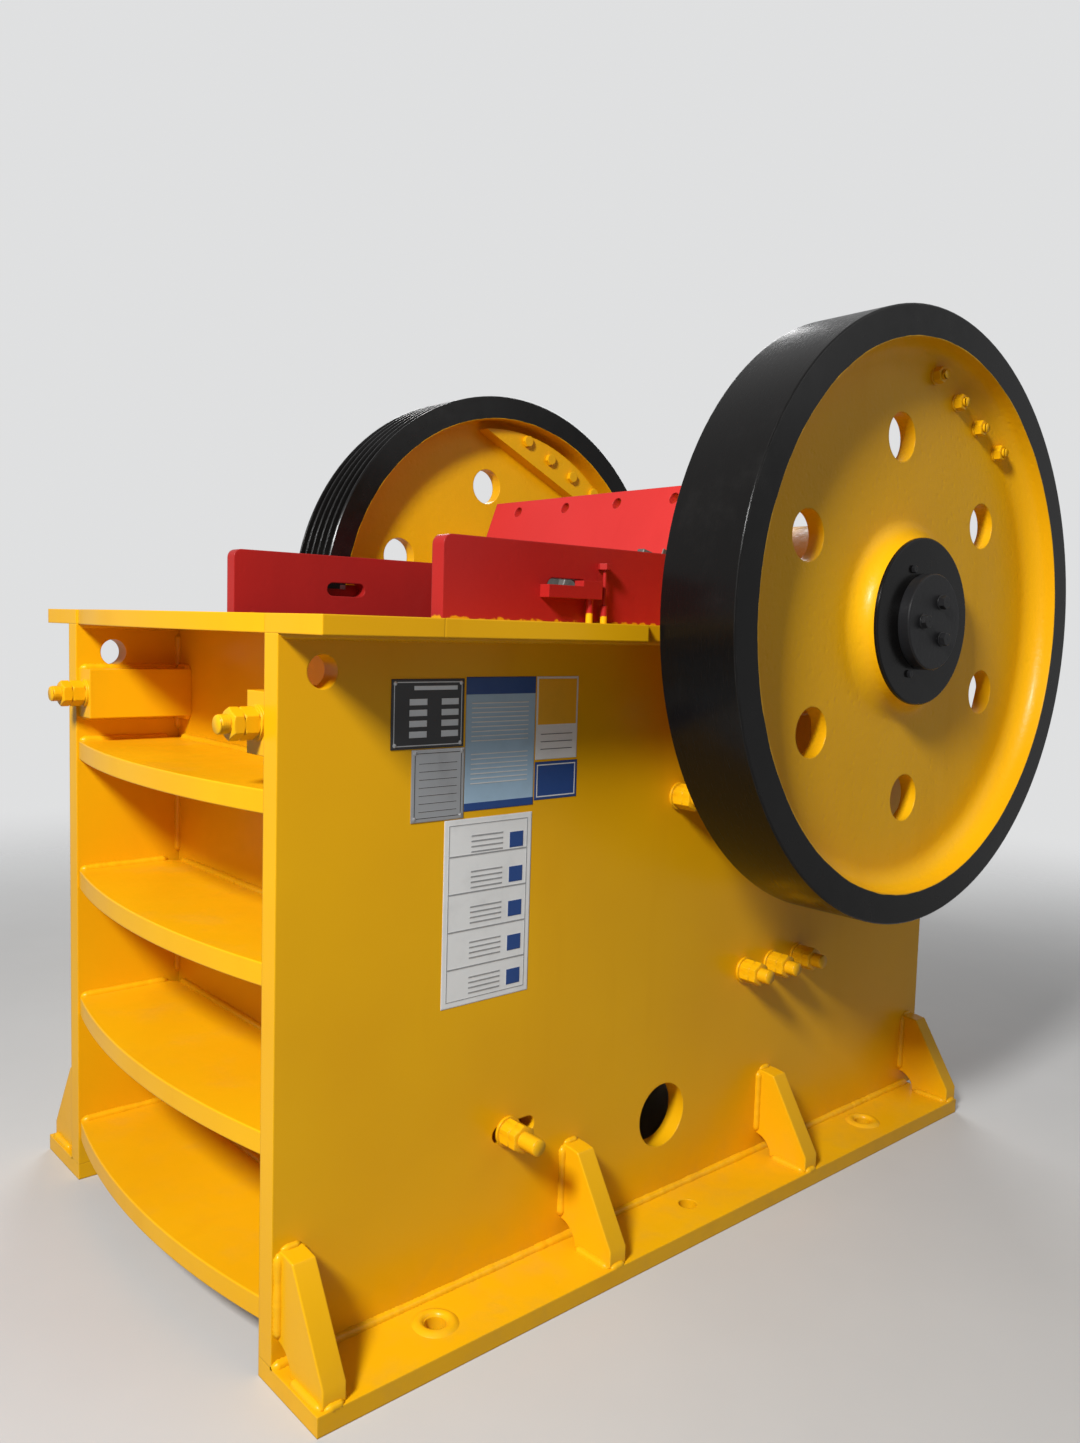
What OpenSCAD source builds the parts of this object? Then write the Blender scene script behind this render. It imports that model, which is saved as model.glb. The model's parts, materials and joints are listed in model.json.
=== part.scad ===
// Jaw crusher with a welded plate frame, a swinging jaw on an eccentric shaft and two flywheels.
// Millimetres. X runs from the fixed jaw end to the rear, Y to the far side, Z up from the floor.
// Outlines are drawn from the frame's front edge, and machine() moves them to the middle of the footprint.

/* [Frame] */
// Height of the frame, floor to top plate
frame_h = 1465; // [1400:5:1550]
// Length of the side plates
frame_len = 2265; // [2220:5:2400]
// Width between the side plates
inner_w = 980; // [940:5:1040]
// Thickness of the side plates
side_t = 50; // [40:1:60]
// Thickness of the top plate and its flanges
top_t = 36; // [30:1:45]
// Overhang of the top flanges beyond the side plates
top_over = 155; // [120:5:155]
// Overhang of the narrow rear stretch of the top flanges
top_over_rear = 100; // [80:5:110]
// Place of the step between the wide and the narrow flange
top_step_x = 800; // [700:5:815]
// Place of the joint between the front top plate and the flanges
top_joint_x = 257; // [220:1:264]
// Height of the chamfer at the upper rear corner
rear_cut_h = 345; // [250:5:400]
// Length of the chamfer at the upper rear corner
rear_cut_len = 305; // [200:5:340]

/* [Base] */
// Length of the foot flanges
foot_len = 2235; // [2180:5:2260]
// Overhang of the foot flanges beyond the side plates
foot_over = 172; // [150:1:200]
// Thickness of the foot flanges
foot_t = 40; // [32:1:50]
// Diameter of the anchor holes
anchor_d = 45; // [36:1:52]
// Place of the first anchor hole
anchor_x = 325; // [280:5:400]
// Distance between anchor holes along the frame
anchor_pitch = 770; // [700:5:800]
// Distance between the rows of anchor holes
anchor_gauge = 1240; // [1220:5:1260]
// Thickness of the gussets
gusset_t = 50; // [36:1:56]
// Height of the gussets above the foot flange
gusset_h = 228; // [200:2:250]
// Reach of the gussets over the foot flange
gusset_reach = 164; // [120:1:168]
// Height of the gusset toes
gusset_toe = 38; // [20:1:60]
// Flat width at the top of the gussets
gusset_top = 50; // [30:1:80]
// Fall of the gussets' top face
gusset_fall = 4; // [0:1:20]
// Radius of the weld relief in the gussets
gusset_relief = 48; // [20:1:60]
// Place of the first gusset
gusset_x = 14; // [5:1:40]
// Distance between the gussets
gusset_pitch = 725; // [700:1:728]

/* [Front] */
// Front face of the front wall
wall_x = 265; // [265:5:300]
// Thickness of the front wall
wall_t = 50; // [40:1:60]
// Thickness of the front ribs
rib_t = 46; // [36:1:52]
// Middle of the lowest front rib above the floor
rib_low_z = 132; // [110:1:160]
// Middle of the uppermost front rib below the top of the frame
rib_top_gap = 349; // [330:1:370]
// Number of front ribs below the top plate
rib_count = 4; // [4:1:4]
// How far the ribs bow out in front of the side plates
rib_bow = 48; // [20:1:70]
// How far the ends of the ribs sit behind the front edge
rib_set_back = 5; // [2:1:10]
// Radius of the weld relief at the rib corners
rib_relief = 26; // [15:1:40]
// Width of the corner boxes
box_w = 78; // [60:1:100]
// Height of the corner boxes
box_h = 120; // [90:5:150]
// Middle of the corner boxes below the top of the frame
box_drop = 205; // [180:5:230]
// Front face of the corner boxes
box_x = 6; // [2:1:30]

/* [Side plate details] */
// Diameter of the lifting holes
lift_d = 65; // [50:1:80]
// Lifting holes behind the front edge
lift_x = 93; // [80:1:120]
// Lifting holes below the top of the frame
lift_drop = 105; // [95:1:120]
// Diameter of the access holes
access_d = 160; // [120:5:180]
// Access holes in front of the shaft axis
access_back = 497; // [420:1:560]
// Access holes above the floor
access_z = 245; // [200:1:280]
// Length of the slots for the lower clamp bolts
slot_len = 121; // [100:1:140]
// Height of the slots
slot_h = 40; // [38:1:50]
// Middle of the slots behind the front edge
slot_x = 588; // [560:1:620]
// Middle of the slots above the floor
slot_z = 344; // [320:1:380]

/* [Chamber] */
// Thickness of the cheek plates
cheek_t = 40; // [30:1:50]
// How far the cheek plates reach forwards past the tips of the fixed jaw plate's teeth
cheek_lap = 20; // [5:1:40]
// Rear end of the cheek plates at the top, in front of the shaft axis
cheek_back = 343; // [325:1:390]
// Top edge of the cheek plates above the top of the frame
cheek_rise = 175; // [140:5:210]
// Bottom edge of the cheek plates above the floor
cheek_low_z = 280; // [240:5:320]
// Radius of the cheek plates' front corner
cheek_r = 22; // [10:1:40]
// Length of the cheek slots
cheek_slot_len = 125; // [100:1:150]
// Height of the cheek slots
cheek_slot_h = 38; // [30:1:50]
// Front end of the cheek slots
cheek_slot_x = 685; // [650:5:720]
// Middle of the cheek slots above the top of the frame
cheek_slot_rise = 80; // [65:1:95]
// Front end of the clamp bars in front of the cheek slots
clamp_ahead = 20; // [0:1:30]
// Length of the clamp bars
clamp_len = 163; // [140:1:180]
// Thickness of the clamp bars
clamp_t = 30; // [20:1:36]
// Height of the clamp bars
clamp_h = 28; // [20:1:34]
// Length of the taller end of the clamp bars
clamp_head_len = 59; // [40:1:70]
// Rise of the taller end above the clamp bars
clamp_head_rise = 13; // [6:1:20]
// Diameter of the posts under the clamp bars
post_d = 16; // [12:1:20]
// Distance between the posts
post_pitch = 46; // [38:1:52]
// Height of the rear post
post_h = 42; // [30:1:50]
// Diameter of the clamp bolts
clamp_bolt_d = 9; // [8:1:12]
// Diameter of the clamp bolts' heads
clamp_bolt_head_d = 34; // [26:1:40]
// Height of the clamp bolts' heads
clamp_bolt_head_h = 14; // [10:1:18]
// Length of the clamp bolts above the rear posts
clamp_bolt_len = 82; // [60:1:100]
// Thickness of the jaw plates behind the teeth
plate_t = 60; // [50:1:75]
// Height of the teeth on the fixed jaw plate
tooth_h = 45; // [30:1:50]
// Distance between teeth
tooth_pitch = 88; // [80:1:96]
// Number of teeth on each jaw plate
tooth_n = 10; // [8:1:10]
// Half the flat on a tooth as a share of the distance between teeth
tooth_flat = 0.13; // [0.08:0.01:0.16]
// Bottom of the fixed jaw plate above the floor
fixed_low_z = 250; // [200:5:300]

/* [Shaft and bearings] */
// Shaft axis behind the front edge
shaft_x = 1573; // [1560:1:1590]
// Shaft axis above the top of the frame
shaft_rise = 29; // [26:1:40]
// Throw of the eccentric
throw = 19; // [12:0.5:19]
// Direction of the eccentric at rest, from the rear upwards
throw_angle = 245; // [235:1:255]
// Diameter of the eccentric journal
ecc_d = 300; // [280:2:310]
// Diameter of the main journals
journal_d = 260; // [240:2:270]
// Diameter of the wheel seats
seat_d = 190; // [170:2:200]
// Radial running clearance of the journals
run_gap = 0.05; // [0.02:0.01:0.08]
// Outer diameter of the bearing barrels
barrel_d = 500; // [470:5:510]
// Outer diameter of the bearings
bearing_d = 390; // [360:5:410]
// Outer end of the bearing barrels from the middle
barrel_out = 670; // [650:5:675]
// Inner end of the bearing barrels from the middle
barrel_in = 470; // [465:5:480]
// How far the bearings stand out of their barrels
bearing_out = 14; // [8:1:14]
// Length of the bearing ears along the frame
ear_len = 120; // [100:5:140]
// Height of the cap ears
ear_h = 60; // [50:5:80]

/* [Flywheels] */
// Diameter of the flywheels
wheel_d = 1500; // [1450:10:1500]
// Width of the plain rim
rim_w = 209; // [190:1:210]
// Width of the grooved rim
groove_rim_w = 196; // [190:1:205]
// Inner face of both rims from the middle
rim_in = 702; // [700:1:710]
// Thickness of the rims
rim_t = 75; // [70:1:85]
// Outer face of the webs from the middle
web_out = 837; // [830:1:845]
// Thickness of the webs
web_t = 42; // [35:1:50]
// Fillet radius between the hubs and the webs
hub_fillet = 52; // [30:1:54]
// Fillet radius between the outer side of the webs and the rims
rim_fillet = 56; // [30:1:58]
// Fillet radius between the inner side of the webs and the rims
rim_fillet_in = 24; // [10:1:26]
// Flat width of web cast in one with each rim and hub
web_flat = 12; // [6:1:16]
// Diameter of the hubs
hub_d = 412; // [380:2:430]
// Outer face of the hubs from the middle
hub_out = 895; // [885:1:896]
// Inner face of the hubs from the middle
hub_in = 690; // [685:1:695]
// Number of lightening holes
hole_n = 6; // [6:1:6]
// Diameter of the lightening holes
hole_d = 120; // [100:1:140]
// Circle of the lightening holes
hole_circle = 904; // [880:2:920]
// Angle of the first lightening hole
hole_angle = 36; // [30:1:42]
// Number of belt grooves
groove_n = 5; // [4:1:5]
// Distance between belt grooves
groove_pitch = 37; // [36:0.5:38]
// Depth of the belt grooves
groove_depth = 24; // [18:1:28]
// Width of the belt grooves at the rim
groove_w = 32; // [26:1:34]
// Width of the belt grooves at the bottom
groove_floor = 18; // [12:1:22]
// Direction of the counterweights at rest, from the rear upwards
weight_angle = 65; // [55:1:75]
// Thickness of the counterweights
weight_t = 52; // [40:1:60]
// Distance of the counterweights' straight edge from the axis
weight_chord = 540; // [520:5:560]
// Thickness of the shaft end plates
cap_t = 30; // [20:1:36]
// Diameter of the shaft end plates
cap_d = 236; // [220:2:260]
// Chamfer round the wheels, hubs and end plates
wheel_chamfer = 3; // [1:0.5:5]

/* [Swing jaw] */
// Lean of the swing jaw from upright
jaw_lean = 21; // [19:0.5:22]
// Width of the swing jaw
jaw_w = 870; // [840:2:880]
// Diameter of the jaw's head
head_d = 510; // [490:5:530]
// Front face of the jaw from its head's axis
jaw_face = 358; // [350:1:370]
// Thickness of the jaw's front slab
jaw_slab_t = 68; // [50:1:80]
// Top of the jaw's front slab from its head's axis
jaw_top = 215; // [190:5:235]
// Margin between the ends of the jaw's ribs and those of its slab
rib_margin = 30; // [20:1:40]
// Rear edge of the jaw's ribs at their widest, behind the head's axis
rib_back = 225; // [210:1:235]
// Height of the ribs' widest place below the head's axis
rib_back_drop = 80; // [60:1:90]
// Rear edge of the jaw's ribs at their knee, behind the head's axis
rib_knee = 150; // [120:1:180]
// Height of the knee below the head's axis
rib_knee_drop = 420; // [380:5:460]
// Bottom of the jaw below its head's axis
jaw_bottom = 1530; // [1500:5:1540]
// Thickness of the jaw's ribs
jaw_rib_t = 40; // [30:1:50]
// Number of the jaw's ribs
jaw_rib_n = 5; // [5:1:6]
// Rear face of the jaw's foot from its head's axis
foot_face = 115; // [105:1:125]
// Height of the jaw's foot
foot_h = 330; // [320:5:345]
// Length of the swing jaw plate
swing_plate_len = 1505; // [1450:5:1520]
// Top of the swing jaw plate from the head's axis
swing_plate_top = 15; // [0:1:20]
// Height of the teeth on the swing jaw plate
swing_tooth_h = 60; // [40:1:62]
// Thickness of the guard plate
guard_t = 30; // [20:1:36]
// Top of the guard plate from the head's axis
guard_top = 239; // [220:1:250]
// Bottom of the guard plate from the head's axis
guard_low = 22; // [22:1:40]
// Width of the guard plate
guard_w = 880; // [860:2:886]
// Diameter of the guard's holes
guard_hole_d = 32; // [26:1:36]
// Distance between the guard's holes
guard_hole_pitch = 214; // [200:1:220]
// Distance of the guard's holes from its top edge
guard_hole_drop = 36; // [30:1:50]

/* [Toggle] */
// Front end of the toggle plate in front of the shaft axis
toggle_back = 583; // [578:1:588]
// Front end of the toggle plate below the shaft axis
toggle_drop = 1194; // [1190:1:1199]
// Rear end of the toggle plate in front of the shaft axis
toggle_end_back = 223; // [203:1:233]
// Rear end of the toggle plate below the shaft axis
toggle_end_drop = 1004; // [984:1:1024]
// Thickness of the toggle plate
toggle_t = 50; // [44:1:54]
// Width of the toggle plate
toggle_w = 760; // [700:5:800]
// Clearance of the toggle plate in the jaw's seat
toggle_gap = 6; // [5:0.5:8]
// Length of the toggle block
block_len = 340; // [310:5:350]
// Underside of the toggle block below the end of the toggle plate
block_under = 110; // [90:5:120]
// Top of the toggle block above the end of the toggle plate
block_over = 150; // [130:5:170]
// Thickness of the adjusting shims
shim_t = 50; // [30:5:60]

/* [Tension rod] */
// Tension rod below the shaft axis at rest
rod_drop = 1309; // [1304:1:1316]
// Diameter of the tension rod
rod_d = 40; // [36:1:44]
// Rod pin in front of the shaft axis
pin_back = 528; // [518:1:533]
// Rear end of the tension rod behind the shaft axis
rod_reach = 532; // [505:5:560]
// Diameter of the rod's eye
eye_d = 90; // [80:1:96]
// Width of the rod's eye
eye_w = 60; // [50:1:70]
// Diameter of the rod's pin
pin_d = 40; // [34:1:44]
// Thickness of the fork on the jaw
fork_t = 30; // [24:1:36]
// Reach of the fork in front of the pin
fork_reach = 140; // [130:5:150]
// Outer diameter of the tension spring
spring_d = 120; // [110:1:130]
// Length of the tension spring
spring_len = 204; // [180:1:220]
// Gap between the spring and the floor of its cup
spring_gap = 16; // [16:1:20]
// Depth of the spring cup
cup_depth = 50; // [40:1:60]

/* [Rear] */
// Thickness of the rear wall
rear_t = 50; // [40:1:60]
// Underside of the rear wall above the floor
rear_low_z = 60; // [50:5:80]
// Top of the rear wall below the top of the frame
rear_drop = 275; // [255:5:310]
// How far the rear ribs end before the rear end of the side plates
rear_set_back = 85; // [50:5:130]

/* [Bolts] */
// Diameter of the large studs
stud_d = 36; // [30:1:36]
// Width across the flats of the large nuts
nut_w = 55; // [50:1:60]
// Height of the large nuts
nut_h = 30; // [24:1:34]
// Height of the lock nuts
jam_h = 22; // [18:1:26]
// Diameter of the large washers
washer_d = 68; // [60:1:72]
// Thickness of the large washers
washer_t = 6; // [4:1:8]
// First bolt of the row of three behind the end of the toggle plate
row_inset = 30; // [28:1:40]
// Distance between the bolts of the row of three
row_pitch = 117; // [110:1:122]
// Height of the row of three bolts above the end of the toggle plate
row_rise = 72; // [50:1:90]
// Reach of the row of three bolts beyond the side plates
row_reach = 88; // [80:1:96]
// Reach of the clamp bolts in the slots beyond the side plates
slot_reach = 108; // [90:1:116]
// Clamp bolts in front of the middle of the slots
slot_bolt_ahead = 18; // [0:1:30]
// Clamp bolts above the middle of the slots
slot_bolt_rise = 2; // [0:1:2]
// Single bolts in front of the shaft axis
lone_back = 481; // [440:1:520]
// Single bolts below the shaft axis
lone_drop = 443; // [400:1:480]
// Reach of the single bolts beyond the side plates
lone_reach = 84; // [80:1:96]
// Reach of the corner boxes' bolts in front of them
stud_out = 80; // [76:1:84]

/* [Hidden] */
$fn = 96;

far_in = inner_w / 2;
far_out = far_in + side_t;
plate_top = frame_h - top_t;
front_x = box_x - stud_out;
rear_x = shaft_x + wheel_d / 2;
mid_x = (front_x + rear_x) / 2;
shaft_z = frame_h + shaft_rise;
head_x = shaft_x + throw * cos(throw_angle);
head_z = shaft_z + throw * sin(throw_angle);
bow = rib_bow + rib_set_back;
bow_r = (far_in * far_in + bow * bow) / (2 * bow);
rib_pitch = (frame_h - rib_top_gap - rib_low_z) / (rib_count - 1);
box_z = frame_h - box_drop;
lift_z = frame_h - lift_drop;
access_x = shaft_x - access_back;
cheek_in = far_in - cheek_t;
cheek_x = wall_x + wall_t + plate_t + tooth_h - cheek_lap;
cheek_end_x = shaft_x - cheek_back;
cheek_z = frame_h + cheek_rise;
cheek_slot_z = frame_h + cheek_slot_rise;
tooth_w = tooth_n * tooth_pitch;
face_gap = 0.1;
toggle_x = shaft_x - toggle_back;
toggle_z = shaft_z - toggle_drop;
toggle_end_x = shaft_x - toggle_end_back;
toggle_end_z = shaft_z - toggle_end_drop;
block_end_x = toggle_end_x + block_len;
block_low_z = toggle_end_z - block_under;
block_top_z = toggle_end_z + block_over;
rear_wall_x = block_end_x + shim_t;
rear_top_z = frame_h - rear_drop;
rear_rib_len = frame_len - rear_set_back - rear_wall_x - rear_t;
rod_z = shaft_z - rod_drop;
pin_x = shaft_x - pin_back;
rod_end_x = shaft_x + rod_reach;
swing_z = throw * sin(throw_angle);
seat_x = toggle_x + throw * cos(throw_angle);
seat_z = toggle_z + throw * sin(throw_angle);
seat_r = toggle_t / 2 + throw + toggle_gap;
spring_x = rear_wall_x + rear_t + spring_gap;
web_in = web_out - web_t;
rim_r = wheel_d / 2 - rim_t;
web_low_r = hub_d / 2 + hub_fillet + web_flat;
web_high_r = rim_r - rim_fillet - web_flat;

module machine() {
    translate([-mid_x, 0, 0]) children();
}

module on_side(side) {
    if (side == "near") mirror([0, 1, 0]) children();
    else children();
}

module slab(x, y, z) {
    translate([x[0], y[0], z[0]]) cube([x[1] - x[0], y[1] - y[0], z[1] - z[0]]);
}

module upright(y0, y1) {
    translate([0, y1, 0]) rotate([90, 0, 0]) linear_extrude(y1 - y0) children();
}

module rod_y(r, y0, y1, x = 0, z = 0) {
    translate([x, y0, z]) rotate([-90, 0, 0]) cylinder(r = r, h = y1 - y0);
}

module rod_x(r, x0, x1, y = 0, z = 0) {
    translate([x0, y, z]) rotate([0, 90, 0]) cylinder(r = r, h = x1 - x0);
}

module on_both_sides() {
    children();
    mirror([0, 1, 0]) children();
}

module nut(h) {
    corner = nut_w / cos(30) / 2;
    fall = (corner - nut_w / 2) * 0.6;
    intersection() {
        cylinder(r = corner, h = h, $fn = 6);
        rotate_extrude() polygon([[0, 0], [nut_w / 2, 0], [corner, fall], [corner, h - fall],
                                  [nut_w / 2, h], [0, h]]);
    }
}

module nut_y(y0, h, x, z) {
    translate([x, y0, z]) rotate([-90, 0, 0]) rotate([0, 0, 30]) nut(h);
}

module nut_x(x0, h, y, z) {
    translate([x0, y, z]) rotate([0, 90, 0]) nut(h);
}

module stud_y(y0, y1, x, z) {
    translate([x, y0, z]) rotate([-90, 0, 0]) {
        cylinder(d = stud_d, h = y1 - y0 - 4);
        translate([0, 0, y1 - y0 - 4]) cylinder(d1 = stud_d, d2 = stud_d - 8, h = 4);
    }
}

module turned(x = 0, z = 0) {
    translate([x, 0, z]) rotate([-90, 0, 0]) rotate_extrude($fn = 180) children();
}

module jaw_frame() {
    machine() translate([head_x, 0, head_z]) rotate([0, jaw_lean, 0]) children();
}

module oblong(length, height) {
    square([length - height, height], center = true);
    for (end = [-1, 1]) translate([end * (length - height) / 2, 0]) circle(d = height);
}

module side_outline() {
    polygon([[0, foot_t], [frame_len, foot_t], [frame_len, plate_top - rear_cut_h],
             [frame_len - rear_cut_len, plate_top], [0, plate_top]]);
}

module side_plate(side) {
    color("gold") machine() on_side(side) difference() {
        upright(far_in, far_out) difference() {
            side_outline();
            translate([shaft_x, shaft_z]) circle(d = barrel_d);
            translate([lift_x, lift_z]) circle(d = lift_d);
            translate([access_x, access_z]) circle(d = access_d);
            translate([slot_x, slot_z]) oblong(slot_len, slot_h);
        }
    }
}

module top_front_plate() {
    color("gold") machine() translate([0, 0, plate_top]) linear_extrude(top_t) {
        intersection() {
            translate([-rib_bow, -far_in]) square([wall_x + wall_t + rib_bow, inner_w]);
            translate([bow_r - rib_bow, 0]) circle(r = bow_r, $fn = 360);
        }
        for (end = [-1, 1]) translate([0, end > 0 ? far_in : -far_out - top_over])
            square([top_joint_x, side_t + top_over]);
    }
}

module top_flange(side) {
    rear_end = frame_len - rear_cut_len;
    color("gold") machine() on_side(side) difference() {
        translate([0, 0, plate_top]) linear_extrude(top_t)
            polygon([[top_joint_x, far_in], [rear_end, far_in], [rear_end, far_out + top_over_rear],
                     [top_step_x + top_over - top_over_rear, far_out + top_over_rear],
                     [top_step_x, far_out + top_over], [top_joint_x, far_out + top_over]]);
        rod_y(barrel_d / 2, far_in - 1, far_out + top_over, shaft_x, shaft_z);
    }
}

module foot_flange(side) {
    color("gold") machine() on_side(side) difference() {
        slab([0, foot_len], [far_in, far_out + foot_over], [0, foot_t]);
        for (i = [0 : 2]) translate([anchor_x + i * anchor_pitch, anchor_gauge / 2, -1])
            cylinder(d = anchor_d, h = foot_t + 2);
    }
}

module gusset_outline() {
    difference() {
        polygon([[0, 0], [gusset_reach, 0], [gusset_reach, gusset_toe],
                 [gusset_top, gusset_h - gusset_fall], [gusset_top / 2, gusset_h - gusset_fall / 4],
                 [0, gusset_h]]);
        circle(r = gusset_relief);
    }
}

module gussets(side) {
    color("gold") machine() on_side(side) for (i = [0 : 3])
        translate([gusset_x + i * gusset_pitch, far_out, foot_t])
            rotate([90, 0, 90]) linear_extrude(gusset_t) gusset_outline();
}

module front_wall() {
    color("gold") machine() slab([wall_x, wall_x + wall_t], [-far_in, far_in], [rear_low_z, plate_top]);
}

module front_rib(i) {
    low = rib_low_z + (i - 1) * rib_pitch - rib_t / 2;
    color("gold") machine() translate([0, 0, low]) linear_extrude(rib_t) difference() {
        intersection() {
            translate([-rib_bow, -far_in]) square([wall_x + rib_bow, inner_w]);
            translate([bow_r - rib_bow, 0]) circle(r = bow_r, $fn = 360);
        }
        for (end = [-1, 1]) translate([wall_x, end * far_in]) circle(r = rib_relief);
    }
}

module corner_boxes() {
    y = far_in - box_w / 2;
    color("gold") machine() on_both_sides() {
        slab([box_x, wall_x], [far_in - box_w, far_in], [box_z - box_h / 2, box_z + box_h / 2]);
        translate([box_x, y, box_z]) rotate([0, -90, 0]) {
            cylinder(d = stud_d, h = stud_out - 4);
            translate([0, 0, stud_out - 4]) cylinder(d1 = stud_d, d2 = stud_d - 8, h = 4);
            cylinder(d = washer_d, h = washer_t);
            translate([0, 0, washer_t]) nut(nut_h);
            translate([0, 0, washer_t + nut_h + face_gap]) nut(jam_h);
        }
    }
}

module toothed_outline(base, depth, first_high) {
    flat = tooth_pitch * tooth_flat;
    polygon(concat([[0, -tooth_w / 2], [0, tooth_w / 2]],
        [for (i = [0 : 2 * tooth_n]) let (
            y = tooth_w / 2 - i * tooth_pitch / 2,
            x = (i % 2 == 1) == first_high ? base : base + depth)
            each [if (i > 0) [x, y + flat], if (i < 2 * tooth_n) [x, y - flat]]],
        []));
}

module fixed_jaw_plate() {
    color("dimgray") machine() translate([wall_x + wall_t, 0, fixed_low_z])
        linear_extrude(frame_h - fixed_low_z) toothed_outline(plate_t, tooth_h, false);
}

module cheek_outline() {
    rear_low_x = cheek_end_x - (cheek_z - cheek_low_z) * tan(jaw_lean);
    difference() {
        union() {
            polygon([[cheek_x, cheek_low_z], [rear_low_x, cheek_low_z], [cheek_end_x, cheek_z],
                     [cheek_x + cheek_r, cheek_z], [cheek_x, cheek_z - cheek_r]]);
            translate([cheek_x + cheek_r, cheek_z - cheek_r]) circle(r = cheek_r);
        }
        translate([cheek_slot_x + cheek_slot_len / 2, cheek_slot_z]) oblong(cheek_slot_len, cheek_slot_h);
    }
}

module cheek_plate(side) {
    color("firebrick") machine() on_side(side) upright(cheek_in, far_in) cheek_outline();
}

module cheek_clamps() {
    bar_x = cheek_slot_x - clamp_ahead;
    bar_end = bar_x + clamp_len;
    bar_z = frame_h + cheek_slot_rise - 25;
    y = far_in + clamp_t / 2;
    front_post_x = bar_end - clamp_head_len / 2 + 4;
    rear_post_x = front_post_x + post_pitch;
    color("firebrick") machine() on_both_sides() {
        slab([bar_x, bar_end], [far_in, far_in + clamp_t], [bar_z, bar_z + clamp_h]);
        slab([bar_end - clamp_head_len, bar_end], [far_in, far_in + clamp_t],
             [bar_z, bar_z + clamp_h + clamp_head_rise]);
        translate([front_post_x, y, frame_h]) cylinder(d = post_d, h = bar_z - frame_h);
        translate([rear_post_x, y, frame_h]) {
            cylinder(d = post_d, h = post_h);
            cylinder(d = clamp_bolt_d, h = post_h + clamp_bolt_len + clamp_bolt_head_h / 2);
            translate([0, 0, post_h + clamp_bolt_len])
                cylinder(d = clamp_bolt_head_d, h = clamp_bolt_head_h, $fn = 6);
        }
    }
}

module rear_wall() {
    cup_x = rear_wall_x + rear_t;
    color("gold") machine() {
        difference() {
            slab([rear_wall_x, rear_wall_x + rear_t], [-far_in, far_in], [rear_low_z, rear_top_z]);
            rod_x(rod_d / 2 + throw + 6, rear_wall_x - 1, rear_wall_x + rear_t + 1, 0, rod_z - swing_z);
        }
        difference() {
            rod_x(spring_d / 2 + throw + 18, cup_x, cup_x + cup_depth, 0, rod_z - swing_z);
            rod_x(spring_d / 2 + throw + 6, cup_x - 1, cup_x + cup_depth + 1, 0, rod_z - swing_z);
        }
    }
}

module rear_ribs() {
    x = rear_wall_x + rear_t;
    color("gold") machine() for (i = [2 : rib_count])
        slab([x, x + rear_rib_len], [-far_in, far_in],
             [rib_low_z + (i - 1) * rib_pitch - rib_t / 2, rib_low_z + (i - 1) * rib_pitch + rib_t / 2]);
}

module toggle_block() {
    color("gold") machine() upright(-far_in, far_in) difference() {
        polygon([[toggle_end_x, block_low_z], [block_end_x, block_low_z], [block_end_x, block_top_z],
                 [toggle_end_x, block_top_z]]);
        toggle_outline(toggle_x, toggle_z, toggle_t / 2 + face_gap);
    }
}

module toggle_shims() {
    color("silver") machine() slab([block_end_x, rear_wall_x], [-far_in + 40, far_in - 40],
                                   [block_low_z + 20, block_top_z - 20]);
}

module toggle_outline(x, z, half) {
    run = [toggle_end_x - toggle_x, toggle_end_z - toggle_z];
    translate([x, z]) rotate(atan2(run[1], run[0])) {
        translate([0, -half]) square([norm(run), 2 * half]);
        circle(r = half);
        translate([norm(run), 0]) circle(r = half);
    }
}

module toggle_plate() {
    color("dimgray") machine() upright(-toggle_w / 2, toggle_w / 2)
        toggle_outline(toggle_x, toggle_z, toggle_t / 2);
}

module bearing_half(lower) {
    ear = lower ? shaft_z - frame_h : ear_h;
    ear_z = lower ? frame_h : shaft_z;
    difference() {
        union() {
            intersection() {
                rod_y(barrel_d / 2, barrel_in, barrel_out, shaft_x, shaft_z);
                slab([shaft_x - barrel_d, shaft_x + barrel_d], [barrel_in - 1, barrel_out + 1],
                     lower ? [shaft_z - barrel_d, shaft_z] : [shaft_z, shaft_z + barrel_d]);
            }
            slab([shaft_x - barrel_d / 2 - ear_len, shaft_x + barrel_d / 2 + ear_len],
                 [far_in + 10, far_out + top_over_rear - 10], [ear_z, ear_z + ear]);
        }
        rod_y(bearing_d / 2, barrel_in - 1, barrel_out + 1, shaft_x, shaft_z);
    }
}

module bearing_seats() {
    color("gold") machine() on_both_sides() bearing_half(true);
}

module bearing_caps() {
    color("gold") machine() on_both_sides() bearing_half(false);
}

module bearings() {
    color("dimgray") machine() on_both_sides() difference() {
        rod_y(bearing_d / 2, barrel_in - bearing_out, barrel_out + bearing_out, shaft_x, shaft_z);
        rod_y(journal_d / 2 + run_gap, barrel_in - bearing_out - 1, barrel_out + bearing_out + 1,
              shaft_x, shaft_z);
    }
}

module frame_bolt(x, z, reach) {
    end = far_out + reach;
    rod_y(washer_d / 2, far_out, far_out + washer_t, x, z);
    nut_y(far_out + washer_t, nut_h, x, z);
    nut_y(far_out + washer_t + nut_h + face_gap, jam_h, x, z);
    stud_y(far_out, end, x, z);
}

module frame_bolts() {
    color("gold") machine() on_both_sides() {
        for (i = [0 : 2])
            frame_bolt(toggle_end_x + row_inset + i * row_pitch, toggle_end_z + row_rise, row_reach);
        frame_bolt(slot_x - slot_bolt_ahead, slot_z + slot_bolt_rise, slot_reach);
        frame_bolt(shaft_x - lone_back, shaft_z - lone_drop, lone_reach);
    }
}

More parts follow.
